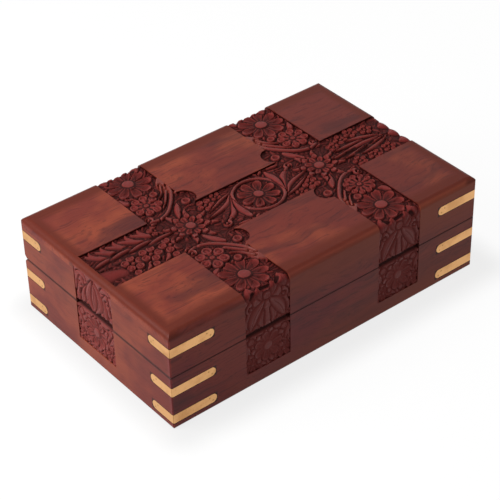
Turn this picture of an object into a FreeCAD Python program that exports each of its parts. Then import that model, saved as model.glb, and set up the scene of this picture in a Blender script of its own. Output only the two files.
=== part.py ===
"""Carved wooden puzzle box: hinged lid, inlaid brass corner strips and a lock worked by the sliding bottom.

Millimetres. X runs along the box, Y to the back, Z up from the underside of the walls.
The box is shown closed and unlocked. Pushing the bottom towards +X locks the lid.
"""
import FreeCAD
import Part
import math
import os

Vector = FreeCAD.Vector

# Overall size of the closed box
box_length = 203.0
box_depth = 127.0
base_height = 33.0
lid_height = 26.0

# Boards
wall_thickness = 10.0
top_thickness = 6.0
floor_thickness = 2.8
floor_groove = 3.0
floor_fit = 0.2
lining_thickness = 1.0
lining_margin = 0.4

# Eased edges
top_round = 3.5
corner_ease = 0.6
foot_round = 1.5
seam_ease = 0.4

# Sliding bottom, which runs in grooves under the fixed floor
slide_lip = 2.8
slide_thickness = 4.0
slide_groove = 4.0
slide_clearance = 0.2
slide_travel = 5.5
slide_end_gap = 0.25
groove_rib = 2.4
thumb_length = 18.0
thumb_width = 22.0
thumb_depth = 1.5

# Carved bands, sunk below the polished faces
carve_depth = 2.0
relief_height = 1.0
boss_height = 1.5
long_band_width = 32.0
long_band_border = 3.5
cross_band_width = 28.5
left_panel = 46.2
right_panel = 40.2
shoulder_radius = 6.5
shoulder_out = 22.0
carve_foot = 9.0

# Flowers, stems and leaves left standing in the carved bands
medallion_offset = 1.5
medallion_radius = 14.2
medallion_line = 1.2
medallion_reach = 10.5
medallion_petals = 8
boss_radius = 2.6
crossing_reach = 9.0
crossing_petals = 8
daisy_reach = 7.2
daisy_petals = 7
daisy_aside = 5.0
daisy_out = 28.5
end_reach = 10.5
end_petals = 9
end_aside = 1.5
end_inset = 14.5
side_reach = 8.2
side_petals = 7
side_flower_rise = 21.0
valley_share = 0.45
petal_bulge = 0.1
stem_width = 1.8
leaf_width = 2.4
arm_stem = ((12.0, 15.5), (-4.5, 22.0), (-13.5, 37.0))
scroll_stems = (
    ((14.0, -6.0), (20.0, 0.5), (27.0, 7.5)),
    ((17.0, -5.0), (22.0, -2.2), (28.5, -1.0)),
    ((15.5, 4.0), (17.0, 8.0), (21.0, 12.5)),
)
twig_spacing = 12.0
twig_count = 3
twig_reach = 8.0
twig_lean = 4.0
lid_leaf_low = (10.0, 3.5)
lid_leaf_high = (2.5, 15.5)

# Brass corner strips
strip_height = 5.3
strip_thickness = 1.6
strip_long_leg = 27.0
strip_short_leg = 17.0
strip_end_bow = 2.2
strip_gap = 0.15
mitre_gap = 0.1
lid_strip_drop = 10.8
upper_strip_drop = 9.35
lower_strip_rise = 6.5

# Butt hinges at the back
hinge_length = 25.0
hinge_inset = 25.5
hinge_setback = 2.3
hinge_leaf_width = 7.0
hinge_leaf_thickness = 1.2
hinge_leaf_gap = 0.1
hinge_barrel_radius = 2.1
hinge_barrel_clearance = 0.3
hinge_knuckle_gap = 0.2
hinge_pin_radius = 1.0
hinge_pin_clearance = 0.05
hinge_chamfer_angle = 51.0

# Hidden lock: a hook on the lid and a bolt on the sliding bottom, in a channel inside the front wall
channel_cover = 2.9
channel_width = 4.0
lock_plate = 2.0
plate_back_gap = 0.5
channel_side_gap = 0.8
catch_depth = 14.0
catch_leg_width = 6.0
catch_toe_length = 6.0
catch_toe_height = 3.0
catch_foot_length = 26.0
catch_foot_width = 5.6
catch_foot_gap = 0.2
catch_foot_thickness = 1.5
bolt_rest_gap = 1.0
bolt_nose_length = 7.0
bolt_nose_height = 3.4
bolt_nose_gap = 0.6
bolt_stem_width = 10.0
bolt_foot_length = 13.0

# Values worked out from the sizes above
half_length = box_length / 2
half_depth = box_depth / 2
box_height = base_height + lid_height
seam_z = base_height
top_under_z = box_height - top_thickness
inner_half_length = half_length - wall_thickness
inner_half_depth = half_depth - wall_thickness
slide_z = slide_lip + slide_clearance
slide_top_z = slide_z + slide_thickness
groove_top_z = slide_top_z + slide_clearance
floor_z = groove_top_z + groove_rib
floor_top_z = floor_z + floor_thickness
slide_pocket = slide_travel + 2 * slide_end_gap
left_band_x = -half_length + left_panel + cross_band_width / 2
right_band_x = half_length - right_panel - cross_band_width / 2
medallion_x = (left_band_x + right_band_x) / 2 + medallion_offset
hinge_y = half_depth - hinge_setback
lid_strip_level = box_height - lid_strip_drop
base_strip_levels = {"upper": seam_z - upper_strip_drop, "lower": lower_strip_rise}
spare = 1.0

side_axes = {
    "front": (Vector(1, 0, 0), Vector(0, -1, 0), half_length, half_depth),
    "back": (Vector(-1, 0, 0), Vector(0, 1, 0), half_length, half_depth),
    "left": (Vector(0, -1, 0), Vector(-1, 0, 0), half_depth, half_length),
    "right": (Vector(0, 1, 0), Vector(1, 0, 0), half_depth, half_length),
}


def block(low_x, high_x, low_y, high_y, low_z, high_z):
    """Rectangular block between two corners."""
    return Part.makeBox(high_x - low_x, high_y - low_y, high_z - low_z, Vector(low_x, low_y, low_z))


def prism(points, along):
    """Straight-sided prism from a closed outline of points."""
    return Part.Face(Part.makePolygon(points + points[:1])).extrude(along)


def on_side(shape, side):
    """Move a shape drawn with X along, Y up and Z out of a face onto one side of the box."""
    along, outward, run, out = side_axes[side]
    turn = FreeCAD.Rotation(along, Vector(0, 0, 1), outward, "XYZ")
    placed = shape.copy()
    placed.Placement = FreeCAD.Placement(outward * out, turn).multiply(shape.Placement)
    return placed


def round_cutter(corner, along, inward, upward, radius):
    """Waste of a quarter-round cutter run along one straight edge."""
    outside = (inward + upward) * -spare
    centre = corner + (inward + upward) * radius
    first = corner + inward * radius
    last = corner + upward * radius
    arc = Part.Arc(first, centre - (inward + upward) * (radius / math.sqrt(2)), last)
    lines = Part.makePolygon([last, last - inward * spare, corner + outside, first - upward * spare, first])
    return Part.Face(Part.Wire([arc.toShape()] + lines.Edges)).extrude(along)


def edge_cutters(radius, level, upward):
    """Quarter-round cutters along the four outer edges at one level."""
    cutters = []
    for along, outward, run, out in side_axes.values():
        corner = outward * out - along * (run + spare) + Vector(0, 0, level)
        cutters.append(round_cutter(corner, along * 2 * (run + spare), outward * -1, upward, radius))
    return cutters


def corner_cutters():
    """Flat bevels that ease the four outer corners."""
    cutters = []
    for x_sign in (-1, 1):
        for y_sign in (-1, 1):
            corner = Vector(x_sign * half_length, y_sign * half_depth, -spare)
            points = [
                corner + Vector(-x_sign * corner_ease, 0, 0) + Vector(-x_sign * spare, y_sign * spare, 0),
                corner + Vector(0, -y_sign * corner_ease, 0) + Vector(x_sign * spare, -y_sign * spare, 0),
                corner + Vector(x_sign * spare, y_sign * spare, 0),
            ]
            cutters.append(prism(points, Vector(0, 0, box_height + 2 * spare)))
    return cutters


def seam_cutters():
    """Small bevels that ease both lips of the seam on all four sides."""
    cutters = []
    for along, outward, run, out in side_axes.values():
        start = along * -(run + spare) + Vector(0, 0, seam_z)
        points = [
            start + outward * (out - seam_ease),
            start + outward * (out + spare) + Vector(0, 0, seam_ease + spare),
            start + outward * (out + spare) - Vector(0, 0, seam_ease + spare),
        ]
        cutters.append(prism(points, along * 2 * (run + spare)))
    return cutters


def hinge_bevel():
    """Bevels behind the hinge pins, which stop the open lid."""
    reach = hinge_setback + spare
    drop = reach * math.tan(math.radians(hinge_chamfer_angle))
    start = Vector(-half_length - spare, hinge_y, seam_z)
    points = [start, start + Vector(0, reach, drop), start + Vector(0, reach, -drop)]
    return prism(points, Vector(box_length + 2 * spare, 0, 0))


def mitred_board(side, low_z, high_z):
    """Wall board with both ends mitred at the box corners."""
    along, outward, run, out = side_axes[side]
    base = Vector(0, 0, low_z)
    points = [
        base + outward * out - along * run,
        base + outward * out + along * run,
        base + outward * (out - wall_thickness) + along * (run - wall_thickness),
        base + outward * (out - wall_thickness) - along * (run - wall_thickness),
    ]
    return prism(points, Vector(0, 0, high_z - low_z))


# Carved ornament, drawn flat with X along and Y up

def disc(centre, radius):
    """Round face."""
    return Part.Face(Part.Wire(Part.Circle(centre, Vector(0, 0, 1), radius).toShape()))


def ring(centre, radius, line):
    """Round band of one line's width."""
    return disc(centre, radius + line / 2).cut(disc(centre, radius - line / 2))


def bulged(start, end, bulge):
    """Arc between two points that swells to the right of its direction."""
    across = (end - start).cross(Vector(0, 0, 1)).normalize()
    return Part.Arc(start, (start + end) / 2 + across * bulge, end).toShape()


def rosette(centre, reach, petals):
    """Flower outline with pointed, swelling petals."""
    step = 2 * math.pi / petals

    def point(radius, turns):
        return centre + Vector(math.cos(turns * step), math.sin(turns * step), 0) * radius

    edges = []
    for index in range(petals):
        tip = point(reach, index)
        edges.append(bulged(point(reach * valley_share, index - 0.5), tip, petal_bulge))
        edges.append(bulged(tip, point(reach * valley_share, index + 0.5), petal_bulge))
    return Part.Face(Part.Wire(edges))


def blade(start, middle, end, width):
    """Curved stem or leaf, pointed at both ends and widest in the middle."""
    across = (end - start).cross(Vector(0, 0, 1)).normalize() * (width / 2)
    edges = [
        Part.Arc(start, middle + across, end).toShape(),
        Part.Arc(end, middle - across, start).toShape(),
    ]
    return Part.Face(Part.Wire(edges))


def leaf(start, end):
    """Straight pointed leaf between two tips."""
    return blade(start, (start + end) / 2, end, leaf_width)


def arm_places(band_x, aside, out):
    """Centres of the daisy and the end flower in one arm of a cross band."""
    daisy = Vector(band_x + aside * daisy_aside, out * daisy_out, 0)
    end_flower = Vector(band_x + aside * end_aside, out * (half_depth - end_inset), 0)
    return daisy, end_flower


def cross_arm(band_x, aside, out):
    """Ornament of one arm of a cross band: a daisy, an end flower and a curved stem."""
    daisy, end_flower = arm_places(band_x, aside, out)
    points = [Vector(band_x + aside * across, out * away, 0) for across, away in arm_stem]
    return [
        rosette(daisy, daisy_reach, daisy_petals),
        rosette(end_flower, end_reach, end_petals),
        blade(*points, stem_width),
    ]


def long_arm(start_x, end_x):
    """Ornament of one end of the long band: a stem with leaves on both sides."""
    direction = math.copysign(1, end_x - start_x)
    faces = [leaf(Vector(start_x, 0, 0), Vector(end_x, 0, 0))]
    for index in range(twig_count):
        root_x = start_x + direction * twig_spacing * (index + 0.5)
        for across in (-1, 1):
            root = Vector(root_x, across * leaf_width, 0)
            faces.append(leaf(root, root + Vector(direction * twig_lean, across * twig_reach, 0)))
    return faces


def scroll(turn):
    """Stems that flow from the medallion to one crossing; turn is 1 or -1 for the two sides."""
    faces = []
    for stem in scroll_stems:
        points = [Vector(medallion_x + turn * across, turn * away, 0) for across, away in stem]
        faces.append(blade(*points, stem_width))
    return faces


def crossing_places():
    """Middles of the two crossings, each with the direction of its outer side."""
    return [(left_band_x, -1), (right_band_x, 1)]


def top_ornament():
    """All low standing ornament on the top of the lid."""
    medallion = Vector(medallion_x, 0, 0)
    faces = [ring(medallion, medallion_radius, medallion_line)]
    faces.append(rosette(medallion, medallion_reach, medallion_petals))
    for turn in (-1, 1):
        faces += scroll(turn)
    for band_x, aside in crossing_places():
        faces.append(rosette(Vector(band_x, 0, 0), crossing_reach, crossing_petals))
        for out in (-1, 1):
            faces += cross_arm(band_x, aside, out)
    half_band = cross_band_width / 2
    faces += long_arm(left_band_x - half_band, -half_length + long_band_border)
    faces += long_arm(right_band_x + half_band, half_length - top_round)
    return faces


def top_bosses():
    """Round bosses in the middle of the large flowers on the top."""
    centres = [Vector(medallion_x, 0, 0)]
    for band_x, aside in crossing_places():
        centres.append(Vector(band_x, 0, 0))
        centres += [arm_places(band_x, aside, out)[1] for out in (-1, 1)]
    return [disc(centre, boss_radius) for centre in centres]


def side_patches(side):
    """Centres along one side and widths of its carved patches."""
    if side in ("left", "right"):
        return [(0.0, long_band_width)]
    direction = side_axes[side][0].x
    return [(direction * left_band_x, cross_band_width), (direction * right_band_x, cross_band_width)]


def lid_side_ornament(centre):
    """Two leaves that rise from the seam and lean together."""
    faces = []
    for across in (-1, 1):
        low = Vector(centre + across * lid_leaf_low[0], seam_z + lid_leaf_low[1], 0)
        high = Vector(centre + across * lid_leaf_high[0], seam_z + lid_leaf_high[1], 0)
        faces.append(leaf(low, high))
    return faces


def base_side_ornament(centre):
    """One large flower on the side of the base."""
    return [rosette(Vector(centre, side_flower_rise, 0), side_reach, side_petals)]


def standing(faces, height):
    """Raise flat ornament from under the sunk ground to its own height above it."""
    lift = Vector(0, 0, -carve_depth - spare)
    solids = []
    for face in faces:
        solid = face.extrude(Vector(0, 0, height + spare))
        solid.translate(lift)
        solids.append(solid)
    return solids


def inset_core(low_z, high_z, rounding):
    """What stays uncarved inside the outer skin; rounding follows the top edges."""
    core = block(
        -half_length + carve_depth, half_length - carve_depth,
        -half_depth + carve_depth, half_depth - carve_depth,
        low_z, high_z,
    )
    if rounding <= 0:
        return core
    top_edges = [edge for edge in core.Edges if min(v.Z for v in edge.Vertexes) > high_z - spare / 2]
    return core.makeFillet(rounding, top_edges)


def band_blocks(low_z, high_z, left_end_x):
    """Blocks over the long band and both cross bands; the long band starts at left_end_x."""
    half_cross = cross_band_width / 2
    half_long = long_band_width / 2
    blocks = [block(left_end_x, half_length + spare, -half_long, half_long, low_z, high_z)]
    for band_x in (left_band_x, right_band_x):
        blocks.append(block(
            band_x - half_cross, band_x + half_cross, -half_depth - spare, half_depth + spare, low_z, high_z,
        ))
    return blocks


def shoulder_blocks():
    """Round shoulders that widen the cross bands beside the long band, towards the middle panels."""
    blocks = []
    for band_x, aside in crossing_places():
        for out in (-1, 1):
            middle = Vector(band_x - aside * cross_band_width / 2, out * shoulder_out, top_under_z)
            blocks.append(Part.makeCylinder(shoulder_radius, top_thickness + spare, middle))
    return blocks


def sunk_ground(blocks, core, ornament):
    """Waste that is carved away: the bands' skin, less the ornament."""
    skin = blocks[0].multiFuse(blocks[1:]).cut(core)
    return skin.cut(ornament) if ornament else skin


def top_waste():
    """Waste of the carving on the top board."""
    core = inset_core(-spare, box_height - carve_depth, top_round - carve_depth)
    ornament = standing(top_ornament(), relief_height) + standing(top_bosses(), boss_height)
    for solid in ornament:
        solid.translate(Vector(0, 0, box_height))
    blocks = band_blocks(top_under_z - spare, box_height + spare, -half_length + long_band_border)
    blocks += shoulder_blocks()
    half_long = long_band_width / 2
    left_edge = block(
        -half_length - spare, -half_length + carve_depth, -half_long, half_long,
        top_under_z - spare, box_height - top_round,
    )
    return sunk_ground(blocks, core, ornament).fuse(left_edge)


def side_waste(low_z, high_z, side_ornament):
    """Waste of the carving on the four sides between two levels."""
    core = inset_core(low_z - spare, high_z + spare, 0)
    ornament = []
    for side in side_axes:
        for centre, width in side_patches(side):
            solids = standing(side_ornament(centre), relief_height)
            ornament += [on_side(solid, side) for solid in solids]
    return sunk_ground(band_blocks(low_z, high_z, -half_length - spare), core, ornament)


# Brass strips

def strip_leg(length, gap, outer):
    """One leg of a corner strip, drawn from the corner along X, with its face at Z = 0."""
    half = strip_height / 2 + gap
    upper = Vector(length + gap - strip_end_bow, half, 0)
    lower = Vector(upper.x, -half, 0)
    edges = [
        Part.makeLine(Vector(0, half, 0), upper),
        Part.Arc(upper, Vector(length + gap, 0, 0), lower).toShape(),
        Part.makeLine(lower, Vector(0, -half, 0)),
        Part.makeLine(Vector(0, -half, 0), Vector(0, half, 0)),
    ]
    leg = Part.Face(Part.Wire(edges)).extrude(Vector(0, 0, strip_thickness + outer))
    leg.translate(Vector(0, 0, -strip_thickness))
    return leg


def mitred_leg(length):
    """Strip leg with its corner end cut to the mitre."""
    waste = prism([
        Vector(-spare, -strip_height, spare),
        Vector(mitre_gap - spare, -strip_height, spare),
        Vector(strip_thickness + mitre_gap + spare, -strip_height, -strip_thickness - spare),
        Vector(-spare, -strip_height, -strip_thickness - spare),
    ], Vector(0, 2 * strip_height, 0))
    return strip_leg(length, 0.0, 0.0).cut(waste)


def at_corner(shape, side, end, level):
    """Place a leg or slot that is drawn from a corner; end is -1 or 1 along the side."""
    run = side_axes[side][2]
    placed = shape.copy() if end < 0 else shape.mirror(Vector(0, 0, 0), Vector(1, 0, 0))
    placed.translate(Vector(end * run, level, 0))
    return on_side(placed, side)


def leg_length(side):
    """Strips reach further along the long sides."""
    return strip_long_leg if side in ("front", "back") else strip_short_leg


def corner_name(side, end):
    """Name of the corner at one end of a side."""
    along, outward = side_axes[side][:2]
    corner = outward + along * end
    return ("front" if corner.y < 0 else "back") + "_" + ("left" if corner.x < 0 else "right")


def strip_set(level):
    """Legs and slots of the strips at one level, by corner and side."""
    legs = {}
    slots = {side: [] for side in side_axes}
    for side in side_axes:
        length = leg_length(side)
        for end in (-1, 1):
            leg = at_corner(mitred_leg(length), side, end, level)
            legs[(corner_name(side, end), side)] = leg.cut(corner_waste)
            slots[side].append(at_corner(strip_leg(length, strip_gap, spare), side, end, level))
    return legs, slots


# Hinges

def knuckle_spans(hinge_x):
    """Outer knuckles belong to the base's leaf, the middle one to the lid's."""
    half = hinge_length / 2
    third = hinge_length / 6
    base = [(hinge_x - half, hinge_x - third), (hinge_x + third, hinge_x + half)]
    lid = [(hinge_x - third + hinge_knuckle_gap, hinge_x + third - hinge_knuckle_gap)]
    return base, lid


def barrel(span, radius):
    """Cylinder along the hinge line."""
    return Part.makeCylinder(radius, span[1] - span[0], Vector(span[0], hinge_y, seam_z), Vector(1, 0, 0))


def barrel_room(low_x, high_x):
    """Square room round a stretch of the hinge line, with the barrel's clearance."""
    reach = hinge_barrel_radius + hinge_barrel_clearance
    return block(low_x, high_x, hinge_y - reach, half_depth + spare, seam_z - reach, seam_z + reach)


def hinge_leaf(hinge_x, upward, own_spans, other_spans):
    """One hinge leaf with its knuckles and pin bore."""
    near = seam_z + upward * hinge_leaf_gap
    far = near + upward * hinge_leaf_thickness
    half = hinge_length / 2
    leaf_plate = block(
        hinge_x - half, hinge_x + half, hinge_y - hinge_leaf_width, hinge_y, min(near, far), max(near, far),
    )
    for low, high in other_spans:
        leaf_plate = leaf_plate.cut(barrel_room(low - hinge_knuckle_gap, high + hinge_knuckle_gap))
    solid = leaf_plate.multiFuse([barrel(span, hinge_barrel_radius) for span in own_spans])
    bore = barrel((hinge_x - half - spare, hinge_x + half + spare), hinge_pin_radius + hinge_pin_clearance)
    return solid.cut(bore).removeSplitter()


def hinge_recess(hinge_x, upward):
    """Mortise for one leaf, with room for the barrel."""
    near = seam_z - upward * spare
    far = seam_z + upward * (hinge_leaf_gap + hinge_leaf_thickness)
    half = hinge_length / 2 + hinge_knuckle_gap
    mortise = block(
        hinge_x - half, hinge_x + half,
        hinge_y - hinge_leaf_width, half_depth + spare,
        min(near, far), max(near, far),
    )
    return [mortise, barrel_room(hinge_x - half, hinge_x + half)]


# Hidden lock; the hook's toe points to -X and its tip is at X = 0

channel_front_y = -half_depth + channel_cover
channel_back_y = channel_front_y + channel_width
plate_back_y = channel_back_y - plate_back_gap
plate_front_y = plate_back_y - lock_plate
toe_z = seam_z - catch_depth
toe_top_z = toe_z + catch_toe_height
catch_end_x = catch_toe_length + catch_leg_width
catch_middle_x = catch_toe_length + catch_leg_width / 2
plate_middle_y = (plate_front_y + plate_back_y) / 2
foot_face_z = seam_z + catch_foot_gap
foot_seat_z = foot_face_z + catch_foot_thickness
nose_tip_x = -bolt_rest_gap
nose_root_x = nose_tip_x - bolt_nose_length
stem_left_x = nose_root_x - bolt_stem_width
nose_z = toe_top_z + bolt_nose_gap
nose_top_z = nose_z + bolt_nose_height
bolt_foot_y = plate_front_y + bolt_foot_length
slide_front_y = -inner_half_depth - slide_groove + slide_clearance


def catch_foot(margin):
    """Foot of the hook, let into the underside of the lid's front rail."""
    half_foot = catch_foot_length / 2 + margin
    half_width = catch_foot_width / 2 + margin
    return block(
        catch_middle_x - half_foot, catch_middle_x + half_foot,
        plate_middle_y - half_width, plate_middle_y + half_width,
        foot_face_z - margin, foot_seat_z,
    )


def lid_catch():
    """Brass hook that hangs from the lid into the front wall."""
    leg = block(catch_toe_length, catch_end_x, plate_front_y, plate_back_y, toe_z, foot_face_z)
    toe = block(0.0, catch_toe_length, plate_front_y, plate_back_y, toe_z, toe_top_z)
    return catch_foot(0.0).multiFuse([leg, toe]).removeSplitter()


def lock_bolt():
    """Brass angle that stands on the sliding bottom, with a nose that passes over the hook's toe."""
    upright = block(stem_left_x, nose_root_x, plate_front_y, plate_back_y, slide_top_z, nose_top_z)
    nose = block(nose_root_x, nose_tip_x, plate_front_y, plate_back_y, nose_z, nose_top_z)
    foot = block(stem_left_x, nose_root_x, plate_front_y, bolt_foot_y, slide_top_z, slide_top_z + lock_plate)
    return upright.multiFuse([nose, foot]).removeSplitter()


def lock_channel():
    """Room for bolt and hook inside the front wall, open at the seam only above the hook."""
    left = stem_left_x - channel_side_gap
    right = catch_end_x + channel_side_gap
    low = slide_top_z - slide_clearance
    chamber = block(left, right, channel_front_y, channel_back_y, low, nose_top_z + spare)
    mouth = block(-channel_side_gap, right, channel_front_y, channel_back_y, toe_z, seam_z + spare)
    notch = block(
        left, nose_root_x + slide_travel + channel_side_gap,
        channel_front_y, -inner_half_depth + spare, low, floor_z,
    )
    return [chamber, mouth, notch]


# Boards with their joints and cuts

def floor_room():
    """Groove round the inside that holds the fixed floor."""
    return block(
        -inner_half_length - floor_groove, inner_half_length + floor_groove,
        -inner_half_depth - floor_groove, inner_half_depth + floor_groove,
        floor_z, floor_top_z + floor_fit,
    )


def slide_room():
    """Grooves that the bottom slides in, with a pocket for its travel at each end."""
    return block(
        -inner_half_length - slide_pocket, inner_half_length + slide_pocket,
        -inner_half_depth - slide_groove, inner_half_depth + slide_groove,
        slide_lip, groove_top_z,
    )


def floor_board():
    """Fixed floor, loose in its groove at the edges."""
    reach = floor_groove - floor_fit
    return block(
        -inner_half_length - reach, inner_half_length + reach,
        -inner_half_depth - reach, inner_half_depth + reach,
        floor_z, floor_top_z,
    )


def lining_sheet():
    """Felt sheet laid on the floor."""
    half_x = inner_half_length - lining_margin
    half_y = inner_half_depth - lining_margin
    return block(-half_x, half_x, -half_y, half_y, floor_top_z, floor_top_z + lining_thickness)


def bottom_slide():
    """Sliding bottom with a shallow thumb scoop underneath; it always covers the opening."""
    left = -inner_half_length - slide_pocket + slide_end_gap
    right = left + 2 * inner_half_length + slide_pocket
    board = block(left, right, slide_front_y, -slide_front_y, slide_z, slide_top_z)
    radius = ((thumb_length / 2) ** 2 + thumb_depth ** 2) / (2 * thumb_depth)
    start = Vector(0, -thumb_width / 2, slide_z + thumb_depth - radius)
    return board.cut(Part.makeCylinder(radius, thumb_width, start, Vector(0, 1, 0)))


hinge_places = {"left": hinge_inset - half_length, "right": half_length - hinge_inset}
corner_waste = corner_cutters()
seam_waste = seam_cutters() + [hinge_bevel()]
foot_waste = edge_cutters(foot_round, 0.0, Vector(0, 0, 1))
lid_legs, lid_slots = strip_set(lid_strip_level)
base_sets = {name: strip_set(level) for name, level in base_strip_levels.items()}
nodes = {}

top_board = block(-half_length, half_length, -half_depth, half_depth, top_under_z, box_height)
top_board = top_board.cut(corner_waste + edge_cutters(top_round, box_height, Vector(0, 0, -1)))
nodes["lid_top_board"] = top_board.cut(top_waste())

rail_carving = side_waste(seam_z - spare, top_under_z, lid_side_ornament)
wall_carving = side_waste(carve_foot, seam_z + spare, base_side_ornament)
for side in side_axes:
    rail_cuts = corner_waste + seam_waste + lid_slots[side]
    wall_cuts = corner_waste + seam_waste + foot_waste + [floor_room(), slide_room()]
    for legs, slots in base_sets.values():
        wall_cuts = wall_cuts + slots[side]
    if side == "front":
        rail_cuts = rail_cuts + [catch_foot(catch_foot_gap)]
        wall_cuts = wall_cuts + lock_channel()
    if side == "back":
        for hinge_x in hinge_places.values():
            rail_cuts = rail_cuts + hinge_recess(hinge_x, 1)
            wall_cuts = wall_cuts + hinge_recess(hinge_x, -1)
    nodes["lid_rail_" + side] = mitred_board(side, seam_z, top_under_z).cut(rail_cuts).cut(rail_carving)
    nodes["base_wall_" + side] = mitred_board(side, 0.0, seam_z).cut(wall_cuts).cut(wall_carving)

nodes["base_floor"] = floor_board()
nodes["base_lining"] = lining_sheet()
nodes["bottom_slide"] = bottom_slide()

for (corner, side), leg in lid_legs.items():
    nodes["lid_strip_" + corner + "_" + side + "_leg"] = leg
for level_name, (legs, slots) in base_sets.items():
    for (corner, side), leg in legs.items():
        nodes["base_" + level_name + "_strip_" + corner + "_" + side + "_leg"] = leg

for place, hinge_x in hinge_places.items():
    base_spans, lid_spans = knuckle_spans(hinge_x)
    nodes["hinge_base_leaf_" + place] = hinge_leaf(hinge_x, -1, base_spans, lid_spans)
    nodes["hinge_lid_leaf_" + place] = hinge_leaf(hinge_x, 1, lid_spans, base_spans)
    half_pin = hinge_length / 2
    nodes["hinge_pin_" + place] = barrel((hinge_x - half_pin, hinge_x + half_pin), hinge_pin_radius)

nodes["lid_catch"] = lid_catch()
nodes["lock_bolt"] = lock_bolt()

os.makedirs("parts", exist_ok=True)
for name, shape in nodes.items():
    shape.exportStep(os.path.join("parts", name + ".step"))
    state = "valid" if shape.isValid() else "INVALID"
    print(name, len(shape.Solids), "solids", round(shape.Volume, 1), "mm3", state)
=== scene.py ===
"""Looks of a carved wooden puzzle box: polished and carved wood, brass, felt, light and camera.

Metres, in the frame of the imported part. The carving is drawn in millimetres on the unrolled skin of the
box: u runs along the box, v runs across the lid and on down its sides, and height 0 is the polished face.
"""
import math

import bpy
import numpy as np
from bpy.props import FloatProperty, FloatVectorProperty, PointerProperty
from mathutils import Matrix, Vector
from mathutils.bvhtree import BVHTree


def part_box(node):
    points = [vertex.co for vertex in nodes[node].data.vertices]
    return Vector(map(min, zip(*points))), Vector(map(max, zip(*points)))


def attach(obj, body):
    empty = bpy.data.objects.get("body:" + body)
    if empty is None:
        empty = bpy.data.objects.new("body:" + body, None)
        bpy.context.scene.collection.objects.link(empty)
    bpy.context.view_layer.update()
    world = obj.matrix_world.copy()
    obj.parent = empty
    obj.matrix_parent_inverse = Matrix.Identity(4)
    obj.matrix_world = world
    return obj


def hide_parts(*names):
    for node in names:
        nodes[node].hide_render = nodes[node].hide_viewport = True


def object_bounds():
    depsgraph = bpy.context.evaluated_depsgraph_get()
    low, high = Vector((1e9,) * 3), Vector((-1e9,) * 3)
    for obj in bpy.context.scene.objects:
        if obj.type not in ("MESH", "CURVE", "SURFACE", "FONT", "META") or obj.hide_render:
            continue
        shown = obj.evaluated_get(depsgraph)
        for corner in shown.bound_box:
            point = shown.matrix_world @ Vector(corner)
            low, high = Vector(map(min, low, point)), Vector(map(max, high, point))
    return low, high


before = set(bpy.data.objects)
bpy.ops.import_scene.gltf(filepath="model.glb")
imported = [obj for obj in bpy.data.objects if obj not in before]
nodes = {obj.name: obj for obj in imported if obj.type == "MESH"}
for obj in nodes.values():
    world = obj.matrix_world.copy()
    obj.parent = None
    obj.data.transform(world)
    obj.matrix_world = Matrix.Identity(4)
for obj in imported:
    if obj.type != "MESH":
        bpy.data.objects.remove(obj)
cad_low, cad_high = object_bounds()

bl_info = {
    "name": "Carved Puzzle Box",
    "version": (1, 0, 0),
    "blender": (4, 5, 0),
    "location": "3D View > Sidebar > Puzzle Box",
    "description": "Dresses the packed puzzle box with carving, wood, brass, felt, light and a camera",
    "category": "Object",
}

mm = 0.001
half_length = cad_high.x / mm
half_depth = cad_high.y / mm
box_height = cad_high.z / mm
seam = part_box("lid_rail_front")[0].z / mm
seam_gap = 0.1
pin_low, pin_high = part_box("hinge_pin_left")
hinge_setback = half_depth - (pin_low.y + pin_high.y) / 2 / mm

side_axes = {
    "front": ((1, 0, 0), (0, -1, 0), half_depth),
    "back": ((-1, 0, 0), (0, 1, 0), half_depth),
    "left": ((0, -1, 0), (-1, 0, 0), half_length),
    "right": ((0, 1, 0), (1, 0, 0), half_length),
}


# Settings that a user would change

def length(name, description, default):
    """Size property in metres."""
    return FloatProperty(
        name=name, description=description, default=default, precision=5,
        unit="LENGTH", subtype="DISTANCE",
    )


def colour(name, description, default):
    """Linear colour property."""
    return FloatVectorProperty(
        name=name, description=description, default=default, size=3, min=0, max=1, subtype="COLOR",
    )


def angle(name, description, degrees):
    """Angle property, given in degrees."""
    radians = math.radians(degrees)
    return FloatProperty(name=name, description=description, default=radians, subtype="ANGLE")


def number(name, description, default, unit="NONE"):
    """Plain number, with a unit where one fits."""
    return FloatProperty(name=name, description=description, default=default, unit=unit)


class CarvingSizes(bpy.types.PropertyGroup):
    """Layout and depth of the carved bands"""

    long_band_width: length("Long band", "Width of the carved band along the lid", 0.032)
    long_band_border: length("End border", "Plain border at the left end of the long band", 0.0035)
    cross_band_width: length("Cross bands", "Width of the two bands across the lid", 0.0285)
    left_panel: length("Left panels", "Length of the plain panels at the left end", 0.0462)
    right_panel: length("Right panels", "Length of the plain panels at the right end", 0.0402)
    shoulder_radius: length("Shoulders", "Radius of the round shoulders beside the long band", 0.0065)
    shoulder_out: length("Shoulder place", "Distance of the shoulders from the middle line", 0.022)
    carve_foot: length("Foot", "Plain height under the carving on the sides", 0.009)
    top_round: length("Round edge", "Radius of the round edge of the lid", 0.0035)
    ground: length("Ground", "Depth of the carved ground under the polished face", 0.00192)
    stop_slope: angle("Stop bevels", "Slope of the bevels behind the hinge pins, which stop the lid", 51.0)
    slab: length("Slab", "Depth of the hidden underside of the carved pieces", 0.0027)
    step: length("Grid", "Spacing of the points that the carving is made of", 0.00033)


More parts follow.
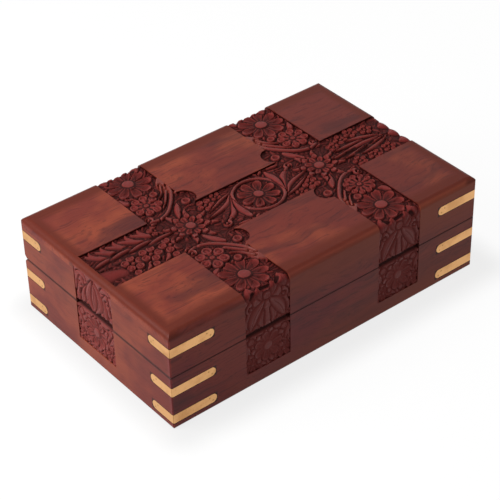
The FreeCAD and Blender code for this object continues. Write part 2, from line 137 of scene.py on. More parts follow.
class FinishColours(bpy.types.PropertyGroup):
    """Colours of wood, brass and felt"""

    panel: colour("Panel", "Polished wood", (0.207, 0.0335, 0.0228))
    panel_light: colour("Light figure", "Lighter figure in the polished wood", (0.325, 0.066, 0.033))
    panel_dark: colour("Dark streaks", "Dark streaks in the polished wood", (0.06, 0.0125, 0.0135))
    front: colour("Front cast", "Violet cast of the front boards", (0.24, 0.028, 0.04))
    # Painted shade: the edge colour darkens the round edges, where the reflection falls away and the end
    # rolls face the key light.
    edge: colour("Round edge", "Polish built up on the round edges", (0.13, 0.0175, 0.0075))
    carved: colour("Carving", "Standing parts of the carving", (0.213, 0.0245, 0.0215))
    carved_side: colour("Side carving", "Standing parts of the carving on the sides", (0.235, 0.046, 0.04))
    # The recess colour is dark polish and painted shade. It darkens the carving's hollows, the seam, and
    # the cuts under the outer face.
    recess: colour("Recess", "Dark polish in the deep parts of the carving", (0.027, 0.0032, 0.0026))
    inside: colour("Inside", "Plain wood inside the box", (0.24, 0.075, 0.04))
    brass: colour("Strip brass", "Inlaid corner strips", (0.76, 0.43, 0.185))
    hardware: colour("Hardware brass", "Hinges, hook, bolt and screws", (0.62, 0.4, 0.16))
    pins: colour("Pins", "Heads of the pins in the corner strips", (0.5, 0.28, 0.105))
    felt: colour("Felt", "Lining on the floor", (0.15, 0.008, 0.013))


class StageSettings(bpy.types.PropertyGroup):
    """Camera and lights"""

    azimuth: angle("Azimuth", "Direction that the camera looks from", -38.16)
    elevation: angle("Elevation", "Height of the camera above the horizon", 37.13)
    roll: angle("Roll", "Turn of the camera about its own axis", -1.483)
    distance: length("Distance", "From the camera to the middle of the box", 0.940285)
    aside: length("Aside", "Sideways place of the camera", -0.000995)
    rise: length("Rise", "Upward place of the camera", -0.004418)
    focal_share: number("Focal share", "Focal length over image width", 3.54638)
    key_power: number("Key light", "Large soft light at the left", 4.7, "POWER")
    top_power: number("Top light", "Large soft light overhead", 1.2, "POWER")
    sky: number("Sky", "Even light from all round", 0.25)


# Shader maths

class Value:
    """Socket of a material that takes Python's arithmetic."""

    def __init__(self, net, socket):
        self.net = net
        self.socket = socket

    def __add__(self, other):
        return self.net.math("ADD", self, other)

    def __sub__(self, other):
        return self.net.math("SUBTRACT", self, other)

    def __mul__(self, other):
        return self.net.math("MULTIPLY", self, other)

    def __rsub__(self, other):
        return self.net.math("SUBTRACT", other, self)

    def __abs__(self):
        return self.net.math("ABSOLUTE", self)

    __radd__ = __add__
    __rmul__ = __mul__


class Net:
    """Nodes of one material or of the world."""

    def __init__(self, tree):
        self.tree = tree
        self.tree.nodes.clear()

    def node(self, kind, settings=None, sockets=None, output=0):
        """Add a node, set it up, feed its sockets and hand back one output."""
        made = self.tree.nodes.new(kind)
        for name, value in (settings or {}).items():
            setattr(made, name, value)
        for name, value in (sockets or {}).items():
            if isinstance(value, Value):
                self.tree.links.new(value.socket, made.inputs[name])
            else:
                made.inputs[name].default_value = value
        return Value(self, made.outputs[output]) if made.outputs else None

    def math(self, operation, first, second=0.0):
        return self.node("ShaderNodeMath", {"operation": operation}, {0: first, 1: second})

    def blend(self, factor, first, second):
        """Mix two colours."""
        sockets = {0: factor, 6: opaque(first), 7: opaque(second)}
        return self.node("ShaderNodeMix", {"data_type": "RGBA"}, sockets, output=2)

    def ramp(self, value, low, high):
        """Smooth step from 0 at low to 1 at high."""
        settings = {"interpolation_type": "SMOOTHSTEP"}
        sockets = {"Value": value, "From Min": low, "From Max": high, "To Min": 0.0, "To Max": 1.0}
        return self.node("ShaderNodeMapRange", settings, sockets)

    def noise(self, place, scale, detail=3.0, roughness=0.55):
        """Noise that is stretched by one scale for each axis, in cells to the metre."""
        stretched = self.node("ShaderNodeMapping", {}, {"Vector": place, "Scale": scale})
        sockets = {"Vector": stretched, "Scale": 1.0, "Detail": detail, "Roughness": roughness}
        return self.node("ShaderNodeTexNoise", {}, sockets)

    def attribute(self, name):
        return self.node("ShaderNodeAttribute", {"attribute_name": name}, output="Fac")

    def place(self):
        return self.node("ShaderNodeTexCoord", output="Object")

    def axes(self, place):
        return [self.node("ShaderNodeSeparateXYZ", {}, {0: place}, output=index) for index in range(3)]

    def shifted(self, place, amount, reach):
        """Place that is moved on each axis by an amount times that axis's reach."""
        sockets = {0: amount, 1: reach, 2: place}
        return self.node("ShaderNodeVectorMath", {"operation": "MULTIPLY_ADD"}, sockets)

    def bump(self, height, distance, strength):
        sockets = {"Height": height, "Distance": distance, "Strength": strength}
        return self.node("ShaderNodeBump", {}, sockets, output="Normal")

    def surface(self, sockets):
        """Finish the material with one Principled shader."""
        shader = self.node("ShaderNodeBsdfPrincipled", {}, sockets)
        self.node("ShaderNodeOutputMaterial", {}, {"Surface": shader})


def opaque(value):
    """Colour with its alpha, or the socket as it is."""
    return value if isinstance(value, Value) else (*value, 1.0)


def new_net(name):
    """Empty material with its node net."""
    material = bpy.data.materials.new(name)
    material.use_nodes = True
    return material, Net(material.node_tree)


def paint(names, material):
    """Give one material to CAD nodes by name."""
    for name in names:
        nodes[name].data.materials.clear()
        nodes[name].data.materials.append(material)


# Wood

strip_levels = [
    sum(corner.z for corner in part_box(kind + "_front_left_front_leg")) / 2
    for kind in ("lid_strip", "base_upper_strip", "base_lower_strip")
]
strip_low, strip_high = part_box("lid_strip_front_left_front_leg")
strip_half_height = (strip_high.z - strip_low.z) / 2
strip_long_start = -strip_high.x
strip_short_start = -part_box("lid_strip_front_left_left_leg")[1].y


def skin_depth(net, x, y, z, radius):
    """Depth under the outer face, up to the edge radius."""
    past_x = net.math("MAXIMUM", abs(x) - (cad_high.x - radius), 0.0)
    past_y = net.math("MAXIMUM", abs(y) - (cad_high.y - radius), 0.0)
    past_z = net.math("MAXIMUM", z - (cad_high.z - radius), 0.0)
    reach = net.math("SQRT", past_x * past_x + past_y * past_y + past_z * past_z)
    return radius - reach


def strip_margin(net, x, y, z):
    """Distance in the face from the nearest brass strip."""
    beside = abs(z - strip_levels[0])
    for level in strip_levels[1:]:
        beside = net.math("MINIMUM", beside, abs(z - level))
    along = net.math("MAXIMUM", strip_long_start - abs(x), strip_short_start - abs(y))
    return net.math("MAXIMUM", beside - strip_half_height, along)


def grain(along, coarse, fine):
    """Noise scale with its long axis along the grain."""
    return tuple(coarse if axis == along else fine for axis in "XYZ")


def polished_wood(name, along, figure, seam_reach, colours, sizes):
    """Red-brown hardwood with streaks along the grain, polished outside and plain inside.

    figure is the strength of the streaks, and seam_reach is how far the dark band of dirt and painted
    shade reaches from the seam.
    """
    material, net = new_net(name)
    place = net.place()
    x, y, z = net.axes(place)
    drift = net.noise(place, grain(along, 6.0, 17.0), 2.0)
    cloud = net.noise(place, grain(along, 21.0, 27.0), 3.0, 0.6)
    bend = net.noise(place, grain(along, 24.0, 36.0), 2.0) - 0.5
    flow = net.shifted(place, bend, grain(along, 0.0, 0.02))
    streaks = net.noise(flow, grain(along, 10.0, 310.0), 4.0, 0.65) + (drift - 0.5) * 0.8
    broad = net.noise(flow, grain(along, 6.5, 62.0), 3.0, 0.6)
    fibre = net.noise(flow, grain(along, 130.0, 2300.0), 3.0, 0.6)
    lines = net.noise(flow, grain(along, 14.0, 800.0), 3.0, 0.6)
    depth = skin_depth(net, x, y, z, sizes.top_round)
    front = net.ramp(y, 0.003 - cad_high.y, 0.001 - cad_high.y)
    # Painted shade: the wood darkens towards the right end and the front half of the top, away from the
    # key light. The front faces are left out.
    painted_falloff_shade = net.ramp(x - y * 0.5, -0.06, 0.11) * (1 - front)
    # Painted light on the front faces: lighter towards the bottom, where the floor's bounce falls, a
    # little towards the top, and towards the right. Fewer dark marks show there.
    painted_front_light = net.ramp(abs(z - 0.026), 0.006, 0.028) * (net.ramp(x, -0.07, 0.0) * 0.6 + 0.2)
    painted_front_light = front * (painted_front_light + net.ramp(x, 0.0, 0.09) * 0.4)
    marks = (1 - painted_front_light) * figure
    # The lighter figure follows the grain cloud. It is less where the painted shade falls and more where
    # the painted light falls.
    light = net.ramp(cloud - painted_falloff_shade * 0.12 + painted_front_light * 0.1, 0.4, 0.6)
    tone = net.blend(light, colours.panel, colours.panel_light)
    tone = net.blend(front * 0.45, tone, colours.front)
    # Painted light on the front faces, in the lighter figure's colour.
    tone = net.blend(painted_front_light * 0.9, tone, colours.panel_light)
    tone = net.blend(net.ramp(broad, 0.49, 0.66) * marks * 0.6, tone, colours.panel_dark)
    tone = net.blend(net.ramp(streaks, 0.48, 0.74) * marks * 0.55, tone, colours.panel_dark)
    tone = net.blend(net.ramp(lines, 0.53, 0.67) * marks * 0.5, tone, colours.panel_dark)
    # The crosswise boards are darker all over, and more so towards the top.
    crosswise_darkening = (0.13 + net.ramp(z, 0.02, 0.036) * 0.12) * (1 - figure)
    # Painted shade away from the key light, plus the crosswise boards' darkening, in the dark streaks'
    # colour.
    tone = net.blend(painted_falloff_shade * 0.24 + crosswise_darkening, tone, colours.panel_dark)
    tone = net.blend(net.ramp(fibre, 0.54, 0.78) * marks * 0.5, tone, colours.panel_dark)
    top = cad_high.z
    # Painted shade on the round edges of the lid: a dark band along the front and back edges, and on the
    # lower part of the end rolls, which face the key light.
    end_rim = net.ramp(cad_high.x - abs(x), 0.0095, 0.0045) * net.ramp(z, top - 0.0034, top - 0.0018)
    side_rim = net.ramp(cad_high.y - abs(y), 0.0125, 0.0065) * net.ramp(z, top - 0.0014, top)
    tone = net.blend(net.math("MAXIMUM", end_rim, side_rim) * 0.9, tone, colours.edge)
    # Dirt and painted shade: the outer face darkens beside the brass strips and along the seam.
    grime_and_shade = net.ramp(strip_margin(net, x, y, z), 0.0008, 0.0001)
    grime_and_shade = net.math("MAXIMUM", grime_and_shade, net.ramp(abs(z - seam * mm), seam_reach, seam_reach * 0.4))
    tone = net.blend(grime_and_shade * net.ramp(depth, 0.0007, 0.0002) * 0.8, tone, colours.recess)
    mating = net.ramp(abs(z - seam * mm), 0.0002, 0.0001)
    # Painted shade: faces a little under the outer face, in pockets, slots and cuts, take the recess
    # colour. The mating faces at the seam are left out.
    tone = net.blend(net.ramp(depth, 0.0002, 0.0007) * (1 - mating), tone, colours.recess)
    deep = net.ramp(depth, sizes.top_round * 0.9, sizes.top_round * 0.99)
    raw = net.blend(net.ramp(streaks, 0.45, 0.8) * 0.5, colours.inside, colours.panel)
    tone = net.blend(deep, tone, raw)
    net.surface({
        "Base Color": tone,
        "Roughness": 0.36 + fibre * 0.14 + deep * 0.22,
        "Specular IOR Level": 0.13,
        "Coat Weight": front * 0.08,
        "Coat Roughness": 0.35,
        "Normal": net.bump(fibre, 0.00005, 0.35),
    })
    return material


def plain_wood(name, colours):
    """Planed board of the floor and the sliding bottom."""
    material, net = new_net(name)
    place = net.place()
    streaks = net.noise(place, grain("X", 8.0, 210.0), 4.0, 0.6)
    fibre = net.noise(place, grain("X", 140.0, 2300.0), 3.0, 0.6)
    tone = net.blend(net.ramp(streaks, 0.42, 0.7), colours.inside, colours.panel)
    tone = net.blend(net.ramp(fibre, 0.5, 0.75) * 0.5, tone, colours.panel_dark)
    net.surface({
        "Base Color": tone,
        "Roughness": 0.55 + fibre * 0.15,
        "Normal": net.bump(fibre, 0.00006, 0.5),
    })
    return material


def carved_wood(colours, sizes):
    """Carved wood: dark in the low parts and hollows from dark polish and painted shade, and lighter on
    the ridges from rubbed polish and painted highlights.
    """
    material, net = new_net("carving_finish")
    place = net.place()
    rise = net.attribute("rise")
    hollow = net.attribute("hollow")
    streaks = net.noise(place, (60.0, 260.0, 260.0), 3.0)
    fibre = net.noise(place, (500.0, 2300.0, 2300.0), 3.0, 0.65)
    x, _, z = net.axes(place)
    side = net.ramp(z, cad_high.z - sizes.top_round * 0.5, cad_high.z - sizes.top_round * 1.5)
    standing = net.blend(side, colours.carved, colours.carved_side)
    recess = net.blend(side * 0.4, colours.recess, colours.panel_dark)
    end = net.ramp(abs(x), cad_high.x - 0.004, cad_high.x - 0.002)
    # Low parts take the recess colour, as dark polish and painted shade. The sides take less of it.
    tone = net.blend(net.ramp(rise + side * (0.3 - end * 0.2), 0.05, 0.72), recess, standing)
    # Painted shade in the hollows, weaker on the sides.
    tone = net.blend(net.ramp(hollow, 0.5, 0.15) * (0.85 - side * (0.6 - end * 0.5)), tone, recess)
    # Painted highlight on the ridges of the top carving, in the panel colour.
    tone = net.blend(net.ramp(hollow, 0.55, 0.95) * (1 - side) * 0.55, tone, colours.panel)
    tone = net.blend(net.attribute("polished"), tone, colours.panel)
    tone = net.blend(net.ramp(streaks, 0.5, 0.8) * 0.35, tone, colours.panel_dark)
    tone = net.blend(net.ramp(x, 0.02, -0.08) * (1 - side) * 0.16, tone, colours.recess)
    # Painted shadow in the seam: the carving darkens within about 2 mm of it.
    tone = net.blend(net.ramp(abs(z - seam * mm), 0.002, 0.0008) * 0.95, tone, colours.recess)
    net.surface({
        "Base Color": tone,
        "Roughness": 0.6 - rise * 0.16 + fibre * 0.1,
        "Specular IOR Level": 0.1,
        "Coat Weight": net.ramp(rise, 0.55, 0.95) * (0.3 - side * 0.12),
        "Coat Roughness": 0.3,
        "Normal": net.bump(fibre, 0.00012, 0.5),
    })
    return material


# Brass and felt

def brass(name, tint, scratch_along):
    """Sanded brass with fine scratches and a little tarnish."""
    material, net = new_net(name)
    place = net.place()
    scratch = net.noise(place, scratch_along, 2.0, 0.7)
    tarnish = net.noise(place, (90.0, 90.0, 90.0), 3.0, 0.6)
    speck = net.noise(place, (900.0, 900.0, 900.0), 2.0)
    dull = tuple(channel * share for channel, share in zip(tint, (0.62, 0.52, 0.42)))
    tone = net.blend(net.ramp(tarnish, 0.42, 0.75) * 0.55, tint, dull)
    tone = net.blend(net.ramp(speck, 0.62, 0.75) * 0.5, tone, dull)
    net.surface({
        "Base Color": tone,
        "Metallic": 1.0,
        "Roughness": 0.4 + scratch * 0.16 + tarnish * 0.1,
        "Normal": net.bump(scratch, 0.00003, 0.3),
    })
    return material


def felt_cloth(colours):
    """Short matted pile with lint and uneven dye."""
    material, net = new_net("felt_finish")
    place = net.place()
    pile = net.noise(place, (2600.0, 2600.0, 1500.0), 3.0, 0.7)
    cloud = net.noise(place, (70.0, 70.0, 70.0), 3.0)
    lint = net.noise(place, (800.0, 1900.0, 800.0), 2.0)
    pale = tuple(min(1.0, channel * 1.6 + 0.004) for channel in colours.felt)
    faded = net.ramp(pile, 0.35, 0.7) * 0.7 + net.ramp(cloud, 0.4, 0.7) * 0.25
    tone = net.blend(faded, colours.felt, pale)
    tone = net.blend(net.ramp(lint, 0.7, 0.8) * 0.3, tone, (0.5, 0.3, 0.3))
    net.surface({
        "Base Color": tone,
        "Roughness": 0.95,
        "Sheen Weight": 0.12,
        "Normal": net.bump(pile, 0.00025, 0.8),
    })
    return material


# Height field of the carving

def ease(share):
    """Smooth step from 0 to 1."""
    share = np.clip(share, 0.0, 1.0)
    return share * share * (3 - 2 * share)


def smooth_path(points, per_span=7):
    """Points of a smooth line through the given ones."""
    known = np.array(points, float)
    padded = np.vstack([2 * known[0] - known[1], known, 2 * known[-1] - known[-2]])
    share = np.linspace(0, 1, per_span, endpoint=False)[:, None]
    spans = []
    for a, b, c, d in zip(padded, padded[1:], padded[2:], padded[3:]):
        spans.append(0.5 * (
            2 * b + (c - a) * share + (2 * a - 5 * b + 4 * c - d) * share ** 2
            + (3 * b - a - 3 * c + d) * share ** 3
        ))
    return np.vstack(spans + [known[-1:]])


def nearest_on(line, u, v):
    """Distance to a line, how far along it that is from 0 to 1, and which side."""
    if not u.size:
        return u, u, u
    runs = np.hypot(*np.diff(line, axis=0).T)
    reached = np.concatenate([[0.0], np.cumsum(runs)])
    distance = np.full(u.shape, np.inf)
    place = np.zeros(u.shape)
    side = np.zeros(u.shape)
    for start, end, run, before in zip(line, line[1:], runs, reached):
        along = (end - start) / run
        share = np.clip((u - start[0]) * along[0] + (v - start[1]) * along[1], 0, run)
        off_u = u - start[0] - share * along[0]
        off_v = v - start[1] - share * along[1]
        off = np.hypot(off_u, off_v)
        near = off < distance
        distance = np.where(near, off, distance)
        place = np.where(near, (before + share) / reached[-1], place)
        side = np.where(near, np.sign(along[0] * off_v - along[1] * off_u), side)
    return distance, place, side


def soft_noise(shape, cell, generator):
    """Smooth noise from -1 to 1 with one value to each cell."""
    rows = np.arange(shape[0]) / cell
    columns = np.arange(shape[1]) / cell
    coarse = generator.uniform(-1, 1, (int(rows[-1]) + 2, int(columns[-1]) + 2))
    row, column = rows.astype(int), columns.astype(int)
    down, right = ease(rows - row)[:, None], ease(columns - column)[None, :]
    upper = coarse[row][:, column] * (1 - right) + coarse[row][:, column + 1] * right
    lower = coarse[row + 1][:, column] * (1 - right) + coarse[row + 1][:, column + 1] * right
    return upper * (1 - down) + lower * down


def spread(values, steps):
    """Mean of each point's square neighbourhood."""
    padded = np.pad(values, steps, mode="edge")
    total = np.cumsum(np.cumsum(np.pad(padded, ((1, 0), (1, 0))), axis=0), axis=1)
    size = 2 * steps + 1
    sums = total[size:, size:] - total[:-size, size:] - total[size:, :-size] + total[:-size, :-size]
    return sums / size ** 2


def widest(values):
    """Highest of each point and its eight neighbours."""
    padded = np.pad(values, 1, mode="edge")
    rows, columns = values.shape
    shifted = [padded[i:i + rows, j:j + columns] for i in range(3) for j in range(3)]
    return np.max(shifted, axis=0)


class Relief:
    """Heights of one carved stretch on the unrolled skin.

    Motifs are drawn in layers: pressing a layer cuts a moat round it and sets it down over earlier ones.
    On the sides of the box the ground and the moats are shallower.
    """

    top = -0.1
    moat_width = 1.25
    moat_floor = -1.85
    side_moat_rise = 0.65
    field = -1.4
    side_field_rise = 1.1

    def __init__(self, span_u, span_v, sizes, seed, side_at):
        counts = [round((high - low) / (sizes.step / mm)) + 1 for low, high in (span_u, span_v)]
        self.u, self.v = np.meshgrid(np.linspace(*span_u, counts[0]), np.linspace(*span_v, counts[1]))
        self.ground = -sizes.ground / mm
        self.generator = np.random.default_rng(seed)
        side = side_at(self.u, self.v)
        self.floor = self.moat_floor + self.side_moat_rise * side
        tooling = 0.2 * soft_noise(self.u.shape, 3.4, self.generator)
        tooling += 0.16 * soft_noise(self.u.shape, 9.0, self.generator)
        self.height = self.field + self.side_field_rise * side + tooling * (1 - 0.6 * side)
        self.polished = np.zeros(self.u.shape)
        self.clear()

    def clear(self):
        """Start a new layer."""
        self.outside = np.full(self.u.shape, np.inf)
        self.shape = np.full(self.u.shape, -np.inf)

    def press(self, floor=1.0, width=1.0):
        """Cut a moat round the layer and set it down; floor and width are shares of the full moat."""
        reach = self.outside / (self.moat_width * width)
        sunk = (1 - ease(reach)) * np.maximum(self.height - self.floor * floor, 0)
        self.height = np.where(self.outside > 0, self.height - sunk, self.shape)
        self.clear()

    def mark(self, window, outside, share, top):
        """Add a shape to the layer: outside is its distance, share goes from 0 at its rim to 1 on top."""
        self.outside[window] = np.minimum(self.outside[window], outside)
        floor = self.floor[window]
        shape = np.where(outside <= 0, floor + (top - floor) * share, -np.inf)
        self.shape[window] = np.maximum(self.shape[window], shape)

    def window(self, low, high):
        """Rows and columns between two corners, none where they miss the stretch."""
        return tuple(
            slice(np.searchsorted(line, low[axis], "right"), np.searchsorted(line, high[axis], "left"))
            for axis, line in ((1, self.v[:, 0]), (0, self.u[0]))
        )

    def round_window(self, centre, reach):
        middle = np.array(centre)
        return self.window(middle - reach, middle + reach)

    def line_window(self, points, width):
        """Smooth line through some points, with the window round it."""
        line = smooth_path(points)
        margin = width / 2 + self.moat_width
        return line, self.window(line.min(0) - margin, line.max(0) + margin)

    def polar(self, window, centre):
        off_u = self.u[window] - centre[0]
        off_v = self.v[window] - centre[1]
        return np.hypot(off_u, off_v), np.arctan2(off_v, off_u)

    def disc(self, centre, radius, eye=0.0):
        """Round boss or petal; eye is the depth of a dent in its middle."""
        window = self.round_window(centre, radius + self.moat_width)
        reach = self.polar(window, centre)[0]
        dent = eye * ease((0.78 - reach / radius) / 0.45)
        share = ease((radius - reach) / 0.5)
        self.mark(window, reach - radius, share, self.top - 0.5 * (reach / radius) ** 2 - dent)

    def dome(self, centre, radius, eye=0.0):
        """Disc in a layer of its own."""
        self.press()
        self.disc(centre, radius, eye)
        self.press()

    def floret(self, centre, reach, petals, turn=0.0):
        """Flower of round dented petals, in layers of its own."""
        self.press()
        wide = math.sin(math.pi / petals)
        ring = reach / (1 + wide)
        for index in range(petals):
            bearing = turn + 2 * math.pi * index / petals
            place = (centre[0] + ring * math.cos(bearing), centre[1] + ring * math.sin(bearing))
            self.disc(place, ring * wide * 1.02, 1.0)
            root = 0.3 * ring
            foot = (centre[0] + root * math.cos(bearing), centre[1] + root * math.sin(bearing))
            self.stem([foot, place], ring * wide, 0.7, 1.0, -0.6)
        self.press()
        self.dome(centre, 0.16 * reach + 0.2, 0.5)

    def plain(self, points, width):
        """Stretch along a line that is left uncut and polished like the panels."""
        line, window = self.line_window(points, width)
        distance, place, _ = nearest_on(line, self.u[window], self.v[window])
        half = np.maximum(width / 2 * np.sin(math.pi * place) ** 0.6, 1e-3)
        inside = ease((half - distance) / 0.5)
        self.height[window] = self.height[window] * (1 - inside) - 0.05 * inside
        self.polished[window] = np.maximum(self.polished[window], inside)

    def flower(self, centre, reach, petals, turn, boss, fill, dish, slit, drop, cut=1.0, sink=0.0):
        """Flower of spoon-shaped petals round a boss, in layers of its own.

        fill is the petals' share of the circle, dish and slit are the depths of their hollow and crease,
        drop lowers their roots, cut is the share of the full moat round them, and sink lowers all of them.
        """
        window = self.round_window(centre, reach + self.moat_width)
        if not self.u[window].size:
            return
        self.press()
        radius, bearing = self.polar(window, centre)
        sector = 2 * math.pi / petals
        local = (bearing - turn + sector / 2) % sector - sector / 2
        axial = radius * np.cos(local)
        across = np.abs(radius * np.sin(local))
        out = np.clip((axial - boss * 0.6) / (reach - boss * 0.6), 0, 1)
        half = axial * math.tan(sector / 2) * fill * np.sqrt(1 - out ** 4)
        inside = half - across
        bowl = ease((inside - 0.4) / 0.8) * ease((out - 0.1) / 0.3) * ease((0.97 - out) / 0.15)
        crease = np.exp(-(across / 0.3) ** 2) * ease((out - 0.1) / 0.2) * ease((0.85 - out) / 0.2)
        top = self.top - sink - dish * bowl - slit * crease - drop * (1 - out)
        self.mark(window, np.maximum(-inside, axial - reach), ease(inside / 0.6), top)
        self.press(cut)
        if boss > 0:
            self.dome(centre, boss, 0.15)

    def stem(self, points, width, start=1.0, end=1.0, top=None):
        """Round stem; start and end are its shares of the width at both ends."""
        line, window = self.line_window(points, width)
        distance, place, _ = nearest_on(line, self.u[window], self.v[window])
        half = width / 2 * (start + (end - start) * place)
        share = np.clip(1 - (distance / half) ** 2, 0, 1) ** 0.4
        self.mark(window, distance - half, share, self.top if top is None else top)

    def leaf(self, points, width, vein=0.4, fat=0.8, top=None):
        """Pointed leaf or comma blade with a vein; fat under 1 moves its widest part to the root."""
        line, window = self.line_window(points, width)
        distance, place, side = nearest_on(line, self.u[window], self.v[window])
        half = np.maximum(width / 2 * np.sin(math.pi * place ** fat) ** 0.7, 1e-3)
        share = np.clip(1 - (distance / half) ** 1.5, 0, 1) ** 0.6
        crease = vein * np.exp(-(distance / 0.3) ** 2) * ease(place / 0.15) * ease((0.95 - place) / 0.2)
        tilt = 0.3 * (1 - side) / 2 * np.clip(distance / half, 0, 1)
        self.mark(window, distance - half, share, (self.top if top is None else top) - crease - tilt)

    def curl(self, centre, radius, turn, hand, tail, width=1.8):
        """Spiral tendril that ends in a bud; tail is where its stem comes from."""
        angles = turn + hand * np.linspace(0, 1.5 * math.pi, 9)
        radii = np.linspace(radius, radius * 0.5, 9)
        spiral = np.array(centre) + np.stack([radii * np.cos(angles), radii * np.sin(angles)], axis=1)
        self.stem([tail] + list(spiral), width, 1.1, 0.8)
        self.dome(centre, radius * 0.4)

    def slot(self, points, width, depth):
        """Deep cut along a line."""
        line, window = self.line_window(points, width)
        distance = nearest_on(line, self.u[window], self.v[window])[0]
        share = 1 - ease((distance - width * 0.3) / (width * 0.25))
        self.height[window] -= share * np.maximum(self.height[window] + depth, 0)


# Places of the carving, in millimetres

class Layout:
    """Bands and crossings worked out from the carving sizes."""

    medallion_shift = 2.3

    def __init__(self, sizes):
        self.round = sizes.top_round / mm
        self.half_cross = sizes.cross_band_width / mm / 2
        self.half_long = sizes.long_band_width / mm / 2
        self.left_band = -half_length + sizes.left_panel / mm + self.half_cross
        self.right_band = half_length - sizes.right_panel / mm - self.half_cross
        self.left_end = -half_length + sizes.long_band_border / mm
        self.medallion = ((self.left_band + self.right_band) / 2 + self.medallion_shift, 0.0)
        self.flat_u = half_length - self.round
        self.flat_v = half_depth - self.round
        self.turn = self.round * math.pi / 2
        self.drop = box_height - self.round - seam
        self.edge_u = self.flat_u + self.turn + self.drop
        self.edge_v = self.flat_v + self.turn + self.drop
        self.foot = sizes.carve_foot / mm

    def lid_side(self, u, v):
        """Share from 0 on top of the lid to 1 on its sides."""
        past = np.maximum(np.abs(u) - self.flat_u, np.abs(v) - self.flat_v)
        return ease(past / self.turn + 0.1)

    def plain_side(self, u, v):
        return np.ones(u.shape)


def unrolled(distance, flat, radius):
    """Outward place, drop and tilt of a point that is a distance along a face and over its round edge."""
    past = np.maximum(np.abs(distance) - flat, 0)
    tilt = np.minimum(past / radius, math.pi / 2)
    straight = np.maximum(past - radius * math.pi / 2, 0)
    outward = np.sign(distance) * (np.minimum(np.abs(distance), flat) + radius * np.sin(tilt))
    return outward, radius * (1 - np.cos(tilt)) + straight, np.sign(distance) * tilt


def lid_skin(layout):
    """Skin of the lid: its top, the round edges and on down the sides."""
    def skin(u, v):
        x, drop_x, tilt_x = unrolled(u, layout.flat_u, layout.round)
        y, drop_y, tilt_y = unrolled(v, layout.flat_v, layout.round)
        points = np.stack([x, y, box_height - drop_x - drop_y], axis=-1)
        normals = np.stack([np.sin(tilt_x), np.sin(tilt_y), np.cos(tilt_x) * np.cos(tilt_y)], axis=-1)
        return points, normals
    return skin


def side_skin(side):
    """Skin of one side, with u along it and v as the height."""
    along, outward, out = [np.array(item, float) for item in side_axes[side]]

    def skin(u, v):
        points = along * u[..., None] + outward * out + np.array([0.0, 0.0, 1.0]) * v[..., None]
        return points, np.broadcast_to(outward, points.shape)
    return skin


# Ornament

# Daisy's place and petals, and end flower's place, on each arm: across and away from the crossing
arm_flowers = {
    (-1, -1): ((5.9, 27.5), 6, (2.1, 48.0)),
    (-1, 1): ((4.6, 29.6), 8, (0.6, 51.5)),
    (1, -1): ((4.0, 27.6), 11, (0.2, 48.6)),
    (1, 1): ((5.6, 28.6), 8, (0.8, 50.0)),
}
crossing_shift = {-1: (2.4, 0.9), 1: (-0.5, -0.6)}


def draw_filler(relief, span_u, span_v, seed):
    """Low gouged strokes all over the ground, which the larger motifs leave to be seen between them."""
    generator = np.random.default_rng(seed)
    pitch = 3.9
    for row in np.arange(span_v[0], span_v[1], pitch):
        for column in np.arange(span_u[0], span_u[1], pitch):
            centre = np.array([column, row]) + generator.uniform(-1.0, 1.0, 2)
            bearing = generator.uniform(0, math.pi)
            half = np.array([math.cos(bearing), math.sin(bearing)]) * generator.uniform(1.8, 3.2)
            relief.leaf([centre - half, centre + half], generator.uniform(1.7, 2.6), 0.2, 1.0,
                        generator.uniform(-1.2, -0.7))
    relief.press(0.95, 0.5)


def draw_medallion(relief, layout):
    """Round flower in a ring, with a fan of curved blades that flows to each crossing."""
    middle = layout.medallion

    def at(turn, aside, out):
        return middle[0] + turn * aside, middle[1] + turn * out

    blades = (
        (((11.0, -10.6), (18.4, -8.6), (24.0, -6.2), (30.0, -3.6)), 2.2, 0.8),
        (((12.6, -9.0), (16.8, -4.8), (22.6, -2.0), (33.0, 0.6)), 3.0, 0.8),
        (((13.4, -7.0), (16.4, -0.8), (20.8, 5.2), (27.4, 8.6)), 3.8, 1.3),
        (((13.6, -5.4), (15.0, 0.6), (15.4, 6.4), (14.4, 13.4)), 4.8, 1.5),
    )
    for turn in (-1, 1):
        relief.floret(at(turn, 27.2, -10.2), 5.4, 5, 0.5 * turn)
        relief.floret(at(turn, 18.6, -13.0), 3.6, 4, -0.6 * turn)
        relief.leaf([at(turn, *p) for p in ((24.6, 14.2), (20.6, 14.6), (16.6, 15.0))], 2.4)
        relief.leaf([at(turn, *p) for p in ((10.8, 13.8), (12.4, 14.6), (14.0, 15.6))], 2.2)
    relief.press()
    radius = 13.7
    circle = [(middle[0] + radius * math.cos(t), middle[1] + radius * math.sin(t))
              for t in np.linspace(0, 2 * math.pi, 25)]
    relief.stem(circle, 1.6)
    thick_part = ((6.0, -12.4), (11.4, -8.4), (14.0, -2.6), (13.2, 3.6))
    for turn in (-1, 1):
        relief.stem([at(turn, *p) for p in thick_part], 3.6, 0.5, 0.5)
    relief.press()
    for turn in (-1, 1):
        for points, width, fat in blades:
            relief.leaf([at(turn, *p) for p in points], width, 0.25, fat)
            relief.press(0.9, 0.7)
        relief.curl(at(turn, 28.6, 9.8), 2.4, 3.6 if turn > 0 else 0.46, -1, at(turn, 24.6, 7.8), 1.7)
    relief.flower(middle, 11.6, 8, 0.2, 3.0, 0.88, 0.6, 0.3, 1.1, 1.0, 0.12)


